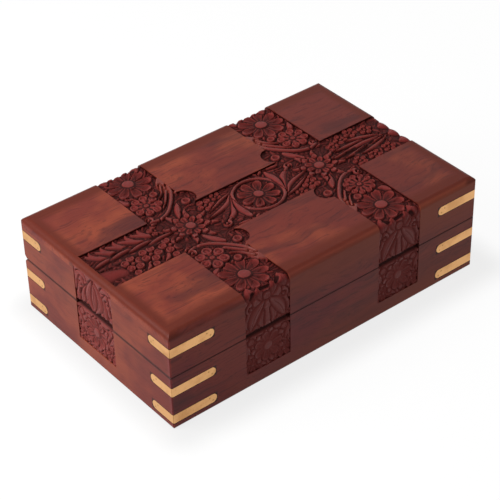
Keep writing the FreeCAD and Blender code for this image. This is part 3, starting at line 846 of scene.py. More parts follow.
def draw_crossing(relief, band, side):
    """Flower where the bands cross, with leaves in the corners."""
    shift = crossing_shift[side]
    centre = np.array([band + shift[0], shift[1]])
    for bearing in np.arange(4) * math.pi / 2 + math.pi / 4:
        step = np.array([math.cos(bearing), math.sin(bearing)])
        across = np.array([-step[1], step[0]])
        for hand in (-1, 1):
            root = step * 7.6 + across * hand * 1.4
            tip = step * 14.0 + across * hand * 5.4
            middle = (root + tip) / 2 + across * hand * 1.2
            relief.leaf([centre + p for p in (root, middle, tip)], 3.0)
    relief.press()
    relief.flower(centre, 10.4, 8, math.pi / 8, 0.0, 0.7, 0.3, 0.3, 0.9)
    relief.flower(centre, 7.8, 8, 0.0, 3.0, 0.84, 0.5, 0.3, 0.9)


def draw_arm(relief, layout, band, aside, out):
    """One arm of a cross band: stems, a daisy, a curl and the large end flower."""
    daisy, petals, end = arm_flowers[(aside, out)]
    hand = aside * out

    def at(across, away):
        return band + aside * across, out * away

    relief.slot([at(6.4, 10.8), at(10.6, 8.6)], 7.0, 1.45)
    leaves = (
        ((-8.4, 21.0), (-4.8, 15.0), (-1.6, 9.4)),
        ((9.0, 36.6), (11.8, 38.0), (13.2, 42.6)),
        ((1.0, 36.8), (-3.6, 36.4), (-7.0, 38.8)),
    )
    for points in leaves:
        relief.leaf([at(*p) for p in points], 4.2)
    relief.press()
    relief.flower(at(*end), 13.2, 9, 0.4, 0.0, 0.97, 0.5, 0.15, 0.9, 0.6, 0.3)
    relief.dome(at(*end), 3.5, 0.15)
    relief.plain([at(*p) for p in ((-14.4, 29.0), (-12.4, 34.0), (-12.2, 38.6), (-14.6, 46.0))], 6.2)
    branch = ((12.0, 14.2), (2.0, 16.4), (-5.0, 21.8), (-12.0, 30.4), (-14.6, 37.0))
    relief.stem([at(*p) for p in branch], 2.2, 0.9)
    relief.press()
    relief.stem([at(*p) for p in ((2.0, 20.6), (-4.4, 25.4), (-11.0, 33.6))], 1.8, 0.4)
    relief.press()
    relief.stem([at(*p) for p in ((-3.4, 30.0), (-7.6, 33.0), (-11.6, 39.4))], 1.5, 0.4)
    relief.press()
    relief.floret(at(*daisy), 9.0, petals, 0.35 * hand)
    relief.dome(at(-13.8, 23.0 if out < 0 else 20.0), 2.8, 0.9)
    relief.dome(at(-4.2, 35.4), 2.5, 0.8)
    relief.curl(at(11.4, 18.4), 2.3, -1.57 * out, -hand, at(7.6, 15.2), 1.7)
    draw_edge(relief, at)
    draw_lid_side(relief, layout, at)


def draw_edge(relief, at):
    """Broad leaves that go over the round edge, with deep cuts between them."""
    top = -0.35
    for across in (-10.6, 9.8):
        points = [at(across * 0.96, 57.6), at(across, 62.0), at(across * 1.02, 68.6)]
        relief.leaf(points, 7.4, 0.3, 1.0, top)
    relief.leaf([at(-3.8, 60.4), at(-4.6, 64.0), at(-3.0, 69.6)], 4.8, 0.4, 1.0, top)
    relief.leaf([at(4.6, 60.4), at(5.0, 64.0), at(3.6, 69.6)], 4.6, 0.4, 1.0, top)
    relief.press(0.9)
    for points in (((-1.4, 63.0), (2.6, 62.4)), ((-8.6, 60.4), (-6.8, 63.2)), ((8.4, 63.6), (9.8, 66.4))):
        relief.slot([at(*p) for p in points], 3.0, 1.9)


def draw_lid_side(relief, layout, at):
    """Leaves that rise from the seam on the side of the lid; away grows downwards."""
    level = layout.flat_v + layout.turn + box_height - layout.round

    def on(across, z):
        return at(across, level - z)

    for hand in (-1, 1):
        relief.leaf([on(hand * 3.0, 34.6), on(hand * 4.4, 39.0), on(hand * 2.2, 45.0)], 4.2, 0.45, 0.8)
        relief.leaf([on(hand * 6.0, 35.0), on(hand * 8.8, 37.0), on(hand * 13.6, 35.6)], 3.2)
        relief.leaf([on(hand * 13.0, 37.4), on(hand * 13.6, 41.6), on(hand * 11.8, 45.6)], 3.2)
        relief.curl(on(hand * 10.4, 48.8), 2.9, math.pi / 2, hand, on(hand * 12.4, 43.6))
        relief.leaf([on(hand * 11.0, 35.6), on(hand * 7.6, 43.5), on(hand * 1.6, 50.4)], 6.4, 0.5, 0.9)
    relief.press()
    relief.dome(on(0.0, 52.8), 2.5, 0.4)
    relief.slot([on(-15.0, 33.2), on(15.0, 33.2)], 2.6, 1.85)


def draw_left_arm(relief):
    """Left end of the long band: a stem of long leaves, with soft leaves above and small flowers below."""
    for root, lean in ((-57, 1.0), (-64.6, 1.1), (-72.2, 1.0), (-79.8, 0.9), (-87, 0.8)):
        relief.leaf([(root - 3.4, 9.0), (root - 5.4, 12.6), (root - 5.0, 16.0)], 3.4, 0.3, 0.8, -0.3)
        blade = [(root, 5.6), (root - 5.0 * lean, 9.8), (root - 11.0 * lean, 14.0)]
        relief.leaf(blade, 4.2, 0.35, 0.8, -0.2)
        relief.press(0.75)
    for centre, turn in (((-79.6, -5.6), 0.1), ((-68.4, -5.0), 1.0), ((-56.2, -5.0), 0.3)):
        relief.floret(centre, 6.6, 5, turn)
        relief.leaf([(centre[0] + 7.6, -9.0), (centre[0] + 6.0, -12.4), (centre[0] + 2.0, -15.0)], 3.0)
        relief.dome((centre[0] - 2.2, -13.2), 2.2, 0.7)
    relief.floret((-54.6, 9.6), 5.0, 5, 0.2)
    spine = ((-97.0, -82.6, 4.6), (-87.0, -71.0, 5.0), (-76.0, -60.0, 4.2), (-65.0, -48.6, 2.8))
    for start, end, rise in spine:
        middle = (start + end) / 2
        relief.leaf([(start, rise - 1.4), (middle, rise), (end, rise - 0.4)], 2.8, 0.2)
        relief.press()
    cuts = (
        ((-84.0, 6.6), (-73.6, 7.4)),
        ((-81.0, 1.4), (-75.0, -0.4)),
        ((-69.0, 1.2), (-63.0, -0.2)),
        ((-60.6, 5.6), (-54.4, 5.2)),
    )
    for points in cuts:
        relief.slot(points, 1.7, 1.9)
    relief.stem([(-97.0, -6.0), (-92.0, -6.6), (-87.6, -8.4)], 11.0, 1.0, 0.6, -0.85)
    relief.press(0.5)


def draw_right_arm(relief, layout):
    """Right end of the long band: a plume of long leaves, with small flowers beside it."""
    places = ((63.8, 7.6), (71.4, 10.6), (79.4, 12.2), (88.0, 9.6),
              (66.4, -11.4), (76.4, -12.2), (87.0, -11.4))
    for index, centre in enumerate(places):
        relief.floret(centre, 4.6, 5, 0.4 * index)
    plume = (
        ((60.0, 3.6), (72.0, 3.4), (84.0, 1.8), (93.0, -0.8)),
        ((72.0, 7.4), (80.0, 5.4), (90.0, 0.8)),
        ((70.0, -7.6), (79.0, -6.6), (87.0, -4.6), (94.0, -2.0)),
        ((60.0, -5.2), (70.0, -4.0), (80.0, -2.4), (92.0, -1.6)),
        ((54.0, -1.2), (66.0, -0.6), (78.0, 0.4), (90.0, -0.6)),
    )
    for points in plume:
        relief.leaf(points, 3.2, 0.25, 1.2)
        relief.press()
    cuts = (
        ((58.0, -2.6), (65.0, -1.4), (72.0, -0.9)),
        ((69.0, -5.0), (77.0, -3.4), (84.0, -1.8)),
        ((79.0, -5.0), (85.0, -4.0), (91.0, -2.6)),
        ((80.0, 3.6), (89.0, 0.6)),
    )
    for points in cuts:
        relief.slot(points, 1.5, 1.9)
    for across in (-11.6, -2.6, 6.2):
        relief.leaf([(94.6, across * 0.98), (100.6, across), (107.6, across * 1.02)], 9.6, 0.2, 1.0, -0.3)
    relief.press()
    relief.slot([(101.0, -6.4), (101.2, -5.6)], 2.6, 1.8)
    relief.slot([(101.0, 10.6), (101.2, 11.2)], 2.6, 1.8)
    level = layout.flat_u + layout.turn + box_height - layout.round
    draw_tulip(relief, lambda across, z: (level - z, across))


def draw_tulip(relief, on):
    """Large bud between curls on the end of the lid."""
    for hand in (-1, 1):
        relief.leaf([on(hand * 6.0, 50.8), on(hand * 9.4, 53.0), on(hand * 14.6, 52.6)], 3.6)
        relief.leaf([on(hand * 13.0, 34.8), on(hand * 14.4, 38.0), on(hand * 13.8, 41.6)], 3.4)
        relief.press()
        relief.curl(on(hand * 11.4, 46.6), 3.1, math.pi / 2, hand, on(hand * 13.4, 40.4), 2.2)
        relief.leaf([on(hand * 10.4, 34.6), on(hand * 7.8, 42.6), on(hand * 3.0, 49.4)], 5.2, 0.45, 0.9)
        relief.press()
        relief.leaf([on(hand * 0.8, 34.2), on(hand * 4.8, 42.0), on(hand * 0.8, 54.2)], 5.6, 0.45, 0.9)
    relief.press()
    relief.leaf([on(0.0, 35.0), on(0.2, 43.0), on(0.0, 52.0)], 5.0, 0.5, 0.9)
    relief.press(0.8)
    relief.slot([on(-16.0, 33.2), on(16.0, 33.2)], 2.6, 1.9)
    relief.slot([on(-11.0, 34.0), on(-5.0, 34.6)], 3.6, 1.9)
    relief.slot([on(4.0, 34.0), on(13.0, 34.2)], 3.6, 1.9)


def draw_left_side(relief):
    """Ornament on the left end of the lid."""
    draw_tulip(relief, lambda aside, z: (aside, z))


def draw_base_side(relief, middle, half_width):
    """Large flower under the seam with leaves and small flowers in the corners."""
    def on(across, z):
        return middle + across, z

    wide = half_width - 14.0
    for hand in (-1, 1):
        relief.leaf([on(hand * 2.6, 31.0), on(hand * 7.6, 30.0), on(hand * (12.0 + wide), 31.4)], 3.6)
        upper = [on(hand * (12.8 + wide), 29.4), on(hand * (13.0 + wide), 25.0), on(hand * 11.0, 20.0)]
        relief.leaf(upper, 3.8)
        relief.leaf([on(hand * 1.6, 9.8), on(hand * 4.6, 11.6), on(hand * 7.0, 9.4)], 3.0)
        lower = [on(hand * (13.2 + wide), 17.4), on(hand * (13.8 + wide), 20.4), on(hand * 13.0, 23.6)]
        relief.leaf(lower, 3.0)
        relief.press()
        relief.flower(on(hand * (9.8 + wide), 13.2), 4.9, 5, 0.3 * hand, 1.1, 0.86, 0.6, 0.1, 0.5)
        relief.dome(on(hand * (10.4 + wide), 28.0), 2.1, 0.4)
    relief.flower(on(0.0, 21.0), 10.8, 7, 0.45, 0.0, 0.6, 0.2, 0.3, 0.6)
    relief.flower(on(0.0, 21.0), 9.2, 7, 0.0, 2.9, 0.82, 0.5, 0.35, 0.8)
    relief.slot([on(-14.0 - wide, 32.9), on(14.0 + wide, 32.9)], 3.0, 1.9)


def draw_lid(layout):
    """All the ornament of the lid's top and of the sides that the bands run down."""
    end_margin, side_margin, seed = 1.0, 2.0, 3

    def draw(relief):
        span_u = (layout.left_end, layout.flat_u - end_margin)
        span_v = (side_margin - layout.flat_v, layout.flat_v - side_margin)
        draw_filler(relief, span_u, span_v, seed)
        draw_left_arm(relief)
        draw_right_arm(relief, layout)
        for band, aside in ((layout.left_band, -1), (layout.right_band, 1)):
            for out in (-1, 1):
                draw_arm(relief, layout, band, aside, out)
        for band, aside in ((layout.left_band, -1), (layout.right_band, 1)):
            draw_crossing(relief, band, aside)
        draw_medallion(relief, layout)
    return draw


# Making pieces

def standing_cad(names):
    """Search tree of some CAD nodes, in millimetres."""
    points, faces = [], []
    for name in names:
        mesh = nodes[name].data
        first = len(points)
        points += [vertex.co / mm for vertex in mesh.vertices]
        faces += [[first + index for index in polygon.vertices] for polygon in mesh.polygons]
    return BVHTree.FromPolygons(points, faces)


def cad_heights(tree, points, normals):
    """Height of the CAD surface under each point of the skin."""
    above, below = 1.0, 5.0
    heights = np.full(points.shape[:2], -below)
    for index in np.ndindex(*heights.shape):
        normal = Vector(normals[index])
        hit = tree.ray_cast(Vector(points[index]) + normal * above, -normal, above + below)
        if hit[3] is not None:
            heights[index] = above - hit[3]
    return heights


def stop_limit(points, normals, sizes):
    """Highest level on the back that clears the bevels behind the hinge pins."""
    clearance = 0.06
    level = np.abs(points[..., 2] - seam) / math.tan(sizes.stop_slope) - hinge_setback - clearance
    return np.where(normals[..., 1] > 0.9, level, np.inf)


def slab_mesh(name, upper, lower):
    """Closed slab with a fine upper grid and a plain underside."""
    rows, columns = upper.shape[:2]
    count = rows * columns
    grid = np.arange(count).reshape(rows, columns)
    left = count + np.arange(rows)
    right = left + rows
    points = np.vstack([upper.reshape(-1, 3), lower[:, 0], lower[:, -1]]) * mm
    quads = np.stack([grid[:-1, :-1], grid[:-1, 1:], grid[1:, 1:], grid[1:, :-1]], axis=-1).reshape(-1, 4)
    walls = [
        np.stack([grid[:-1, 0], grid[1:, 0], left[1:], left[:-1]], axis=-1),
        np.stack([grid[1:, -1], grid[:-1, -1], right[:-1], right[1:]], axis=-1),
        np.stack([left[:-1], left[1:], right[1:], right[:-1]], axis=-1),
    ]
    faces = np.vstack([quads] + walls).tolist()
    faces.append([left[0], right[0]] + grid[0, ::-1].tolist())
    faces.append([right[-1], left[-1]] + grid[-1].tolist())
    mesh = bpy.data.meshes.new(name)
    mesh.from_pydata(points.tolist(), [], faces)
    mesh.polygons.foreach_set("use_smooth", [True] * len(quads) + [False] * (len(faces) - len(quads)))
    mesh.set_sharp_from_angle(angle=math.radians(75))
    return mesh


def add_piece(name, mesh, material, body):
    """Put a mesh in the scene as a piece that rides on a body."""
    piece = bpy.data.objects.new(name, mesh)
    bpy.context.scene.collection.objects.link(piece)
    mesh.materials.append(material)
    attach(piece, body)
    return piece


def carve(name, body, skin, span_u, span_v, draw, tree, sizes, material, seed, side_at):
    """Draw one stretch of carving and add it as a slab that fills its pocket in the CAD."""
    pocket_rim, out_of_reach = -0.3, -5.0
    highest, cover, tool_marks, full_hollow = -0.05, 0.06, 0.03, 1.4
    relief = Relief(span_u, span_v, sizes, seed, side_at)
    draw(relief)
    points, normals = skin(relief.u, relief.v)
    standing = cad_heights(tree, points, normals)
    standing[standing > pocket_rim] = out_of_reach
    limit = stop_limit(points, normals, sizes)
    drawn = relief.height + tool_marks * soft_noise(relief.u.shape, 2.0, relief.generator)
    drawn = np.minimum(np.clip(drawn, relief.ground, highest), np.maximum(limit, relief.ground))
    heights = np.maximum(drawn, np.minimum(widest(standing) + cover, highest))
    heights = np.minimum(heights, limit)
    upper = points + normals * heights[..., None]
    lower = points - normals * (sizes.slab / mm)
    rise = (drawn - relief.ground) / -relief.ground
    # hollow is how far a point lies below or above its neighbours. The finish paints shade in the low
    # points and highlights on the high ones.
    hollow = np.clip(0.5 + (drawn - spread(drawn, 4)) / full_hollow, 0, 1)
    grids = [upper, lower, rise, hollow, relief.polished]
    if np.ptp(normals[..., 0]) > 0.5:
        grids = [np.rot90(grid) for grid in grids]
    mesh = slab_mesh(name, *grids[:2])
    for label, values in zip(("rise", "hollow", "polished"), grids[2:]):
        data = np.zeros(len(mesh.vertices), np.float32)
        data[:values.size] = values.ravel()
        mesh.attributes.new(label, "FLOAT", "POINT").data.foreach_set("value", data)
    return add_piece(name, mesh, material, body)


def lathe_parts(profile, segments):
    """Points and faces of a closed turned shape; the first and last (radius, height) are on the axis."""
    points = [(0.0, 0.0, profile[0][1])]
    faces = []
    turns = [2 * math.pi * index / segments for index in range(segments)]
    for radius, height in profile[1:-1]:
        points += [(radius * math.cos(turn), radius * math.sin(turn), height) for turn in turns]
    points.append((0.0, 0.0, profile[-1][1]))
    rings = len(profile) - 2
    for index in range(segments):
        after = (index + 1) % segments
        faces.append([0, 1 + after, 1 + index])
        for ring in range(rings - 1):
            low, high = 1 + ring * segments, 1 + (ring + 1) * segments
            faces.append([low + index, low + after, high + after, high + index])
        last = 1 + (rings - 1) * segments
        faces.append([last + index, last + after, len(points) - 1])
    return points, faces


def gathered_mesh(name, shapes):
    """One mesh from shapes given as points, faces and a placing matrix, in millimetres."""
    points, faces = [], []
    for shape_points, shape_faces, matrix in shapes:
        first = len(points)
        points += [(matrix @ Vector(point)) * mm for point in shape_points]
        faces += [[first + index for index in face] for face in shape_faces]
    mesh = bpy.data.meshes.new(name)
    mesh.from_pydata(points, [], faces)
    mesh.polygons.foreach_set("use_smooth", [True] * len(faces))
    mesh.set_sharp_from_angle(angle=math.radians(35))
    return mesh


def add_fasteners(name, shapes, material, body):
    """Add the pins or screws of one body as one piece."""
    add_piece(name, gathered_mesh(name, shapes), material, body)


def facing(centre, normal, turn=0.0):
    """Matrix that puts a shape's Z axis along a normal."""
    way = Vector(normal).to_track_quat("Z", "Y").to_matrix().to_4x4()
    return Matrix.Translation(Vector(centre)) @ way @ Matrix.Rotation(turn, 4, "Z")


def half_head(radius, half_slot, low, high, segments=14):
    """Half of a slotted screw head: a prism beside the slot."""
    start = math.asin(half_slot / radius)
    turns = [start + (math.pi - 2 * start) * index / segments for index in range(segments + 1)]
    rim = [(radius * math.cos(turn), radius * math.sin(turn)) for turn in turns]
    count = len(rim)
    points = [(x, y, low) for x, y in rim] + [(x, y, high) for x, y in rim]
    faces = [list(range(count))[::-1], list(range(count, 2 * count))]
    for index in range(count):
        after = (index + 1) % count
        faces.append([index, after, count + after, count + index])
    return points, faces


def screw(centre, normal, radius, turn):
    """Countersunk screw with a slot: a plate and two half heads."""
    proud, sunk, slot_floor = 0.04, -0.5, -0.3
    plate = lathe_parts([(0, sunk), (radius, sunk), (radius, slot_floor), (0, slot_floor)], 28)
    half = half_head(radius, radius * 0.16, slot_floor, proud)
    return [
        (*plate, facing(centre, normal, turn)),
        (*half, facing(centre, normal, turn)),
        (*half, facing(centre, normal, turn + math.pi)),
    ]


def pin(centre, normal):
    """Small peened pin."""
    radius, sunk = 0.55, -0.6
    head = lathe_parts([(0, sunk), (radius, sunk), (radius, 0.0), (0.4, 0.02), (0, 0.03)], 14)
    return [(*head, facing(centre, normal))]


# Operators

class PUZZLEBOX_OT_boards(bpy.types.Operator):
    """Finish the boards of the lid, the base and the sliding bottom"""

    bl_idname = "puzzle_box.boards"
    bl_label = "Boards"

    def execute(self, context):
        colours, sizes = context.scene.puzzle_box_colours, context.scene.puzzle_box_carving
        lengthwise = polished_wood("polished_wood_lengthwise", "X", 1.0, 0.0007, colours, sizes)
        crosswise = polished_wood("polished_wood_crosswise", "Y", 0.4, 0.0012, colours, sizes)
        for board in ("lid_rail_", "base_wall_"):
            paint([board + "front", board + "back"], lengthwise)
            paint([board + "left", board + "right"], crosswise)
        paint(["lid_top_board"], lengthwise)
        paint(["base_floor", "bottom_slide"], plain_wood("plain_wood", colours))
        return {"FINISHED"}


class PUZZLEBOX_OT_lid_carving(bpy.types.Operator):
    """Carve the bands on the lid and down its sides"""

    bl_idname = "puzzle_box.lid_carving"
    bl_label = "Lid carving"

    def execute(self, context):
        sizes = context.scene.puzzle_box_carving
        layout = Layout(sizes)
        material = carved_wood(context.scene.puzzle_box_colours, sizes)
        tree = standing_cad(["lid_top_board"] + ["lid_rail_" + side for side in side_axes])
        skin, draw = lid_skin(layout), draw_lid(layout)
        left, right, half = layout.left_band, layout.right_band, layout.half_cross
        across = (-layout.edge_v + seam_gap, layout.edge_v - seam_gap)
        along = (-layout.half_long, layout.half_long)
        stretches = {
            "lid_carving_cross_left": ((left - half, left + half), across),
            "lid_carving_cross_right": ((right - half, right + half), across),
            "lid_carving_long_left": ((layout.left_end, left - half), along),
            "lid_carving_middle": ((left + half, right - half), along),
            "lid_carving_long_right": ((right + half, layout.edge_u - seam_gap), along),
        }
        shoulder = sizes.shoulder_radius / mm
        shoulder_out = sizes.shoulder_out / mm
        for side, inner in (("left", left + half), ("right", right - half)):
            span = (inner, inner + shoulder) if side == "left" else (inner - shoulder, inner)
            for end, out in (("front", -1), ("back", 1)):
                near = max(shoulder_out - shoulder, layout.half_long)
                rim = sorted((out * near, out * (shoulder_out + shoulder)))
                stretches["lid_carving_shoulder_" + end + "_" + side] = (span, tuple(rim))
        left_side_seed = 40
        for seed, (name, (span_u, span_v)) in enumerate(stretches.items()):
            carve(name, "lid", skin, span_u, span_v, draw, tree, sizes, material, seed, layout.lid_side)
        heights = (seam + seam_gap, box_height - layout.round)
        carve("lid_carving_left_side", "lid", side_skin("left"), along, heights,
              draw_left_side, tree, sizes, material, left_side_seed, layout.plain_side)
        return {"FINISHED"}


class PUZZLEBOX_OT_base_carving(bpy.types.Operator):
    """Carve the patches on the sides of the base"""

    bl_idname = "puzzle_box.base_carving"
    bl_label = "Base carving"

    def execute(self, context):
        sizes = context.scene.puzzle_box_carving
        layout = Layout(sizes)
        material = bpy.data.materials["carving_finish"]
        tree = standing_cad(["base_wall_" + side for side in side_axes])
        patches = {"base_carving_left": ("left", 0.0, layout.half_long),
                   "base_carving_right": ("right", 0.0, layout.half_long)}
        for side, hand in (("front", 1), ("back", -1)):
            for place, band in (("left", layout.left_band), ("right", layout.right_band)):
                patches["base_carving_" + side + "_" + place] = (side, hand * band, layout.half_cross)
        first_base_seed = 60
        for seed, (name, (side, middle, half)) in enumerate(patches.items()):
            span = (middle - half, middle + half)
            carve(name, "base", side_skin(side), span, (layout.foot, seam - seam_gap),
                  lambda relief: draw_base_side(relief, middle, half), tree, sizes, material,
                  first_base_seed + seed, layout.plain_side)
        return {"FINISHED"}


class PUZZLEBOX_OT_strips(bpy.types.Operator):
    """Finish the brass corner strips and set their pins"""

    bl_idname = "puzzle_box.strips"
    bl_label = "Corner strips"

    def execute(self, context):
        colours = context.scene.puzzle_box_colours
        material = brass("strip_finish", tuple(colours.brass), (260.0, 260.0, 2600.0))
        pin_metal = brass("pin_finish", tuple(colours.pins), (900.0, 900.0, 900.0))
        strips = [name for name in nodes if "_strip_" in name]
        paint(strips, material)
        pins = {"lid": [], "base": []}
        for name in strips:
            low, high = [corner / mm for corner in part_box(name)]
            along, outward, out = side_axes[name.split("_")[-2]]
            axis = 0 if along[0] else 1
            level = (low.z + high.z) / 2
            inward = 1 if low[axis] + high[axis] < 0 else -1
            end = high[axis] if inward > 0 else low[axis]
            for back, rise in ((4.4, 1.0), (2.3, -1.1)):
                centre = Vector(outward) * out + Vector((0, 0, level + rise))
                centre[axis] = end - inward * back
                pins["lid" if name.startswith("lid") else "base"] += pin(centre, outward)
        for body, shapes in pins.items():
            add_fasteners(body + "_strip_pins", shapes, pin_metal, body)
        return {"FINISHED"}


class PUZZLEBOX_OT_hardware(bpy.types.Operator):
    """Finish the hinges and the hidden lock and set their screws"""

    bl_idname = "puzzle_box.hardware"
    bl_label = "Hinges and lock"

    def execute(self, context):
        leaf_head, foot_head, leaf_row, catch_foot, bolt_foot = 1.7, 1.6, 2.6, 1.5, 2.0
        tint = tuple(context.scene.puzzle_box_colours.hardware)
        material = brass("hardware_finish", tint, (1200.0, 200.0, 1200.0))
        paint([name for name in nodes if name.startswith("hinge_")] + ["lid_catch", "lock_bolt"], material)
        for body, up in (("base", 1), ("lid", -1)):
            shapes = []
            for place in ("left", "right"):
                low, high = [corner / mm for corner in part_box("hinge_" + body + "_leaf_" + place)]
                face = seam - up * seam_gap
                for turn, share in ((0.5, 0.16), (1.1, 0.84)):
                    centre = (low.x + (high.x - low.x) * share, low.y + leaf_row, face)
                    shapes += screw(centre, (0, 0, up), leaf_head, turn)
            add_fasteners("hinge_screws_" + body, shapes, material, body)
        low, high = [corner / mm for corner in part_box("lid_catch")]
        face = high.z - catch_foot
        shapes = []
        for turn, x in ((0.3, low.x + 4.0), (1.3, high.x - 4.0)):
            shapes += screw((x, (low.y + high.y) / 2, face), (0, 0, -1), foot_head, turn)
        add_fasteners("lid_catch_screws", shapes, material, "lid")
        low, high = [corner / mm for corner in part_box("lock_bolt")]
        shapes = []
        for turn, back in ((0.9, 3.0), (0.2, 7.5)):
            centre = (low.x + 5.0, high.y - back, low.z + bolt_foot)
            shapes += screw(centre, (0, 0, 1), foot_head, turn)
        add_fasteners("lock_bolt_screws", shapes, material, "slide")
        return {"FINISHED"}


class PUZZLEBOX_OT_felt(bpy.types.Operator):
    """Lay the felt on the floor of the box"""

    bl_idname = "puzzle_box.felt"
    bl_label = "Felt lining"

    def execute(self, context):
        low, high = [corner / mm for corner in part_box("base_lining")]
        u, v = np.meshgrid(np.linspace(low.x, high.x, 92), np.linspace(low.y, high.y, 54))
        border = np.minimum.reduce([u - low.x, high.x - u, v - low.y, high.y - v])
        generator = np.random.default_rng(7)
        pressed, waves, ripples, edge_drop, edge_width = 0.12, 0.06, 0.04, 0.45, 2.2
        height = high.z - pressed + waves * soft_noise(u.shape, 9.0, generator)
        height += ripples * soft_noise(u.shape, 4.0, generator)
        height -= edge_drop * (1 - ease(border / edge_width))
        upper = np.stack([u, v, height], axis=-1)
        lower = np.stack([u, v, np.full(u.shape, low.z)], axis=-1)
        mesh = slab_mesh("felt_lining", upper, lower)
        felt = add_piece("felt_lining", mesh, felt_cloth(context.scene.puzzle_box_colours), "base")
        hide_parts("base_lining")
        return {"FINISHED"}


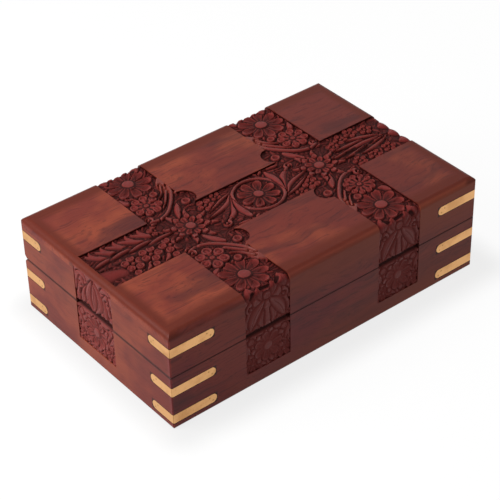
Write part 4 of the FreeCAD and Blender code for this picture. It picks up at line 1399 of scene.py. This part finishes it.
class PUZZLEBOX_OT_stage(bpy.types.Operator):
    """Set the floor, the lights and the camera"""

    bl_idname = "puzzle_box.stage"
    bl_label = "Stage"

    def execute(self, context):
        settings = context.scene.puzzle_box_stage
        context.scene.view_settings.view_transform = "Standard"
        self.lay_floor(context)
        self.light_sky(context, settings)
        middle = Vector((0, 0, cad_high.z / 2))
        key_place, key_size = Vector((-0.56, 0.2, 0.47)), 0.5
        top_place, top_size = Vector((-0.1, 0.15, 1.0)), 0.8
        self.add_light(context, "key_light", key_place, middle, key_size, settings.key_power)
        self.add_light(context, "top_light", top_place, middle, top_size, settings.top_power)
        self.place_camera(context, settings, middle)
        return {"FINISHED"}

    def lay_floor(self, context):
        mesh = bpy.data.meshes.new("floor")
        reach = 3.0
        corners = [(-reach, -reach, 0), (reach, -reach, 0), (reach, reach, 0), (-reach, reach, 0)]
        mesh.from_pydata(corners, [], [[0, 1, 2, 3]])
        floor = bpy.data.objects.new("floor", mesh)
        context.scene.collection.objects.link(floor)
        material, net = new_net("white_floor")
        seen = self.seen_directly(net)
        lit, shaded, own_share, clear_white = 1.04, 0.9, 0.9, (1.0, 1.0, 1.0, 1.0)
        matte = net.node("ShaderNodeBsdfDiffuse", {}, {"Color": (0.95, 0.95, 0.95, 1.0)})
        glow = net.node("ShaderNodeEmission", {}, {"Color": clear_white, "Strength": lit})
        shade = net.node("ShaderNodeEmission", {}, {"Color": clear_white, "Strength": shaded})
        # As seen, the floor is white glow, dimmed by a painted contact shadow near the box. A tenth of
        # real matte keeps the real shadow.
        own = net.node("ShaderNodeMixShader", {}, {0: self.painted_contact_shadow(net), 1: glow, 2: shade})
        white = net.node("ShaderNodeMixShader", {}, {0: own_share, 1: matte, 2: own})
        dim = net.node("ShaderNodeBsdfDiffuse", {}, {"Color": (0.35, 0.35, 0.35, 1.0)})
        shader = net.node("ShaderNodeMixShader", {}, {0: seen, 1: dim, 2: white})
        net.node("ShaderNodeOutputMaterial", {}, {"Surface": shader})
        mesh.materials.append(material)

    @staticmethod
    def painted_contact_shadow(net):
        """Painted contact shadow: 1 beside the foot of the box and 0 further off, a little wider away from
        the light.
        """
        right, back, reach, full = 0.004, -0.003, 0.024, 0.002
        x, y, _ = net.axes(net.place())
        past_x = net.math("MAXIMUM", abs(x - right) - cad_high.x, 0.0)
        past_y = net.math("MAXIMUM", abs(y - back) - cad_high.y, 0.0)
        distance = net.math("SQRT", past_x * past_x + past_y * past_y)
        return net.ramp(distance, reach, full)

    def light_sky(self, context, settings):
        world = bpy.data.worlds.new("studio")
        world.use_nodes = True
        context.scene.world = world
        net = Net(world.node_tree)
        seen = self.seen_directly(net)
        strength = seen * (1 - settings.sky) + settings.sky
        sky = net.node("ShaderNodeBackground", {}, {"Color": (1.0, 1.0, 1.0, 1.0), "Strength": strength})
        net.node("ShaderNodeOutputWorld", {}, {"Surface": sky})

    @staticmethod
    def seen_directly(net):
        """1 for rays from the camera and for what metal mirrors, 0 for other light."""
        kinds = [net.node("ShaderNodeLightPath", output=name)
                 for name in ("Is Camera Ray", "Is Glossy Ray", "Is Transmission Ray")]
        return net.math("MINIMUM", kinds[0] + kinds[1] + kinds[2], 1.0)

    @staticmethod
    def add_light(context, name, place, target, size, power):
        lamp = bpy.data.lights.new(name, "AREA")
        lamp.size = size
        lamp.energy = power
        light = bpy.data.objects.new(name, lamp)
        light.location = place
        light.rotation_euler = (place - target).to_track_quat("Z", "Y").to_euler()
        context.scene.collection.objects.link(light)

    @staticmethod
    def place_camera(context, settings, middle):
        turn, tilt = settings.azimuth, settings.elevation
        back = Vector((math.sin(turn) * math.cos(tilt), -math.cos(turn) * math.cos(tilt), math.sin(tilt)))
        level = Vector((0, 0, 1)).cross(back).normalized()
        upright = back.cross(level)
        right = level * math.cos(settings.roll) + upright * math.sin(settings.roll)
        up = upright * math.cos(settings.roll) - level * math.sin(settings.roll)
        data = bpy.data.cameras.new("camera")
        data.lens = data.sensor_width * settings.focal_share
        data.clip_start = 0.05
        data.clip_end = 20.0
        camera = bpy.data.objects.new("camera", data)
        spot = middle + back * settings.distance + right * settings.aside + up * settings.rise
        camera.matrix_world = Matrix.Translation(spot) @ Matrix((right, up, back)).transposed().to_4x4()
        context.scene.collection.objects.link(camera)
        context.scene.camera = camera


steps = (
    PUZZLEBOX_OT_stage,
    PUZZLEBOX_OT_boards,
    PUZZLEBOX_OT_lid_carving,
    PUZZLEBOX_OT_base_carving,
    PUZZLEBOX_OT_strips,
    PUZZLEBOX_OT_hardware,
    PUZZLEBOX_OT_felt,
)


class PUZZLEBOX_PT_steps(bpy.types.Panel):
    """Steps that dress the box, with their settings"""

    bl_idname = "PUZZLEBOX_PT_steps"
    bl_label = "Puzzle Box"
    bl_space_type = "VIEW_3D"
    bl_region_type = "UI"
    bl_category = "Puzzle Box"

    def draw(self, context):
        for step in steps:
            self.layout.operator(step.bl_idname)
        for group in (context.scene.puzzle_box_carving, context.scene.puzzle_box_colours,
                      context.scene.puzzle_box_stage):
            box = self.layout.box()
            for name in group.__annotations__:
                box.prop(group, name)


classes = (CarvingSizes, FinishColours, StageSettings) + steps + (PUZZLEBOX_PT_steps,)


def register():
    for item in classes:
        bpy.utils.register_class(item)
    bpy.types.Scene.puzzle_box_carving = PointerProperty(type=CarvingSizes)
    bpy.types.Scene.puzzle_box_colours = PointerProperty(type=FinishColours)
    bpy.types.Scene.puzzle_box_stage = PointerProperty(type=StageSettings)


def unregister():
    del bpy.types.Scene.puzzle_box_carving
    del bpy.types.Scene.puzzle_box_colours
    del bpy.types.Scene.puzzle_box_stage
    for item in reversed(classes):
        bpy.utils.unregister_class(item)


def main():
    register()
    bpy.ops.puzzle_box.stage()
    bpy.ops.puzzle_box.boards()
    bpy.ops.puzzle_box.lid_carving()
    bpy.ops.puzzle_box.base_carving()
    bpy.ops.puzzle_box.strips()
    bpy.ops.puzzle_box.hardware()
    bpy.ops.puzzle_box.felt()


if __name__ == "__main__":
    main()
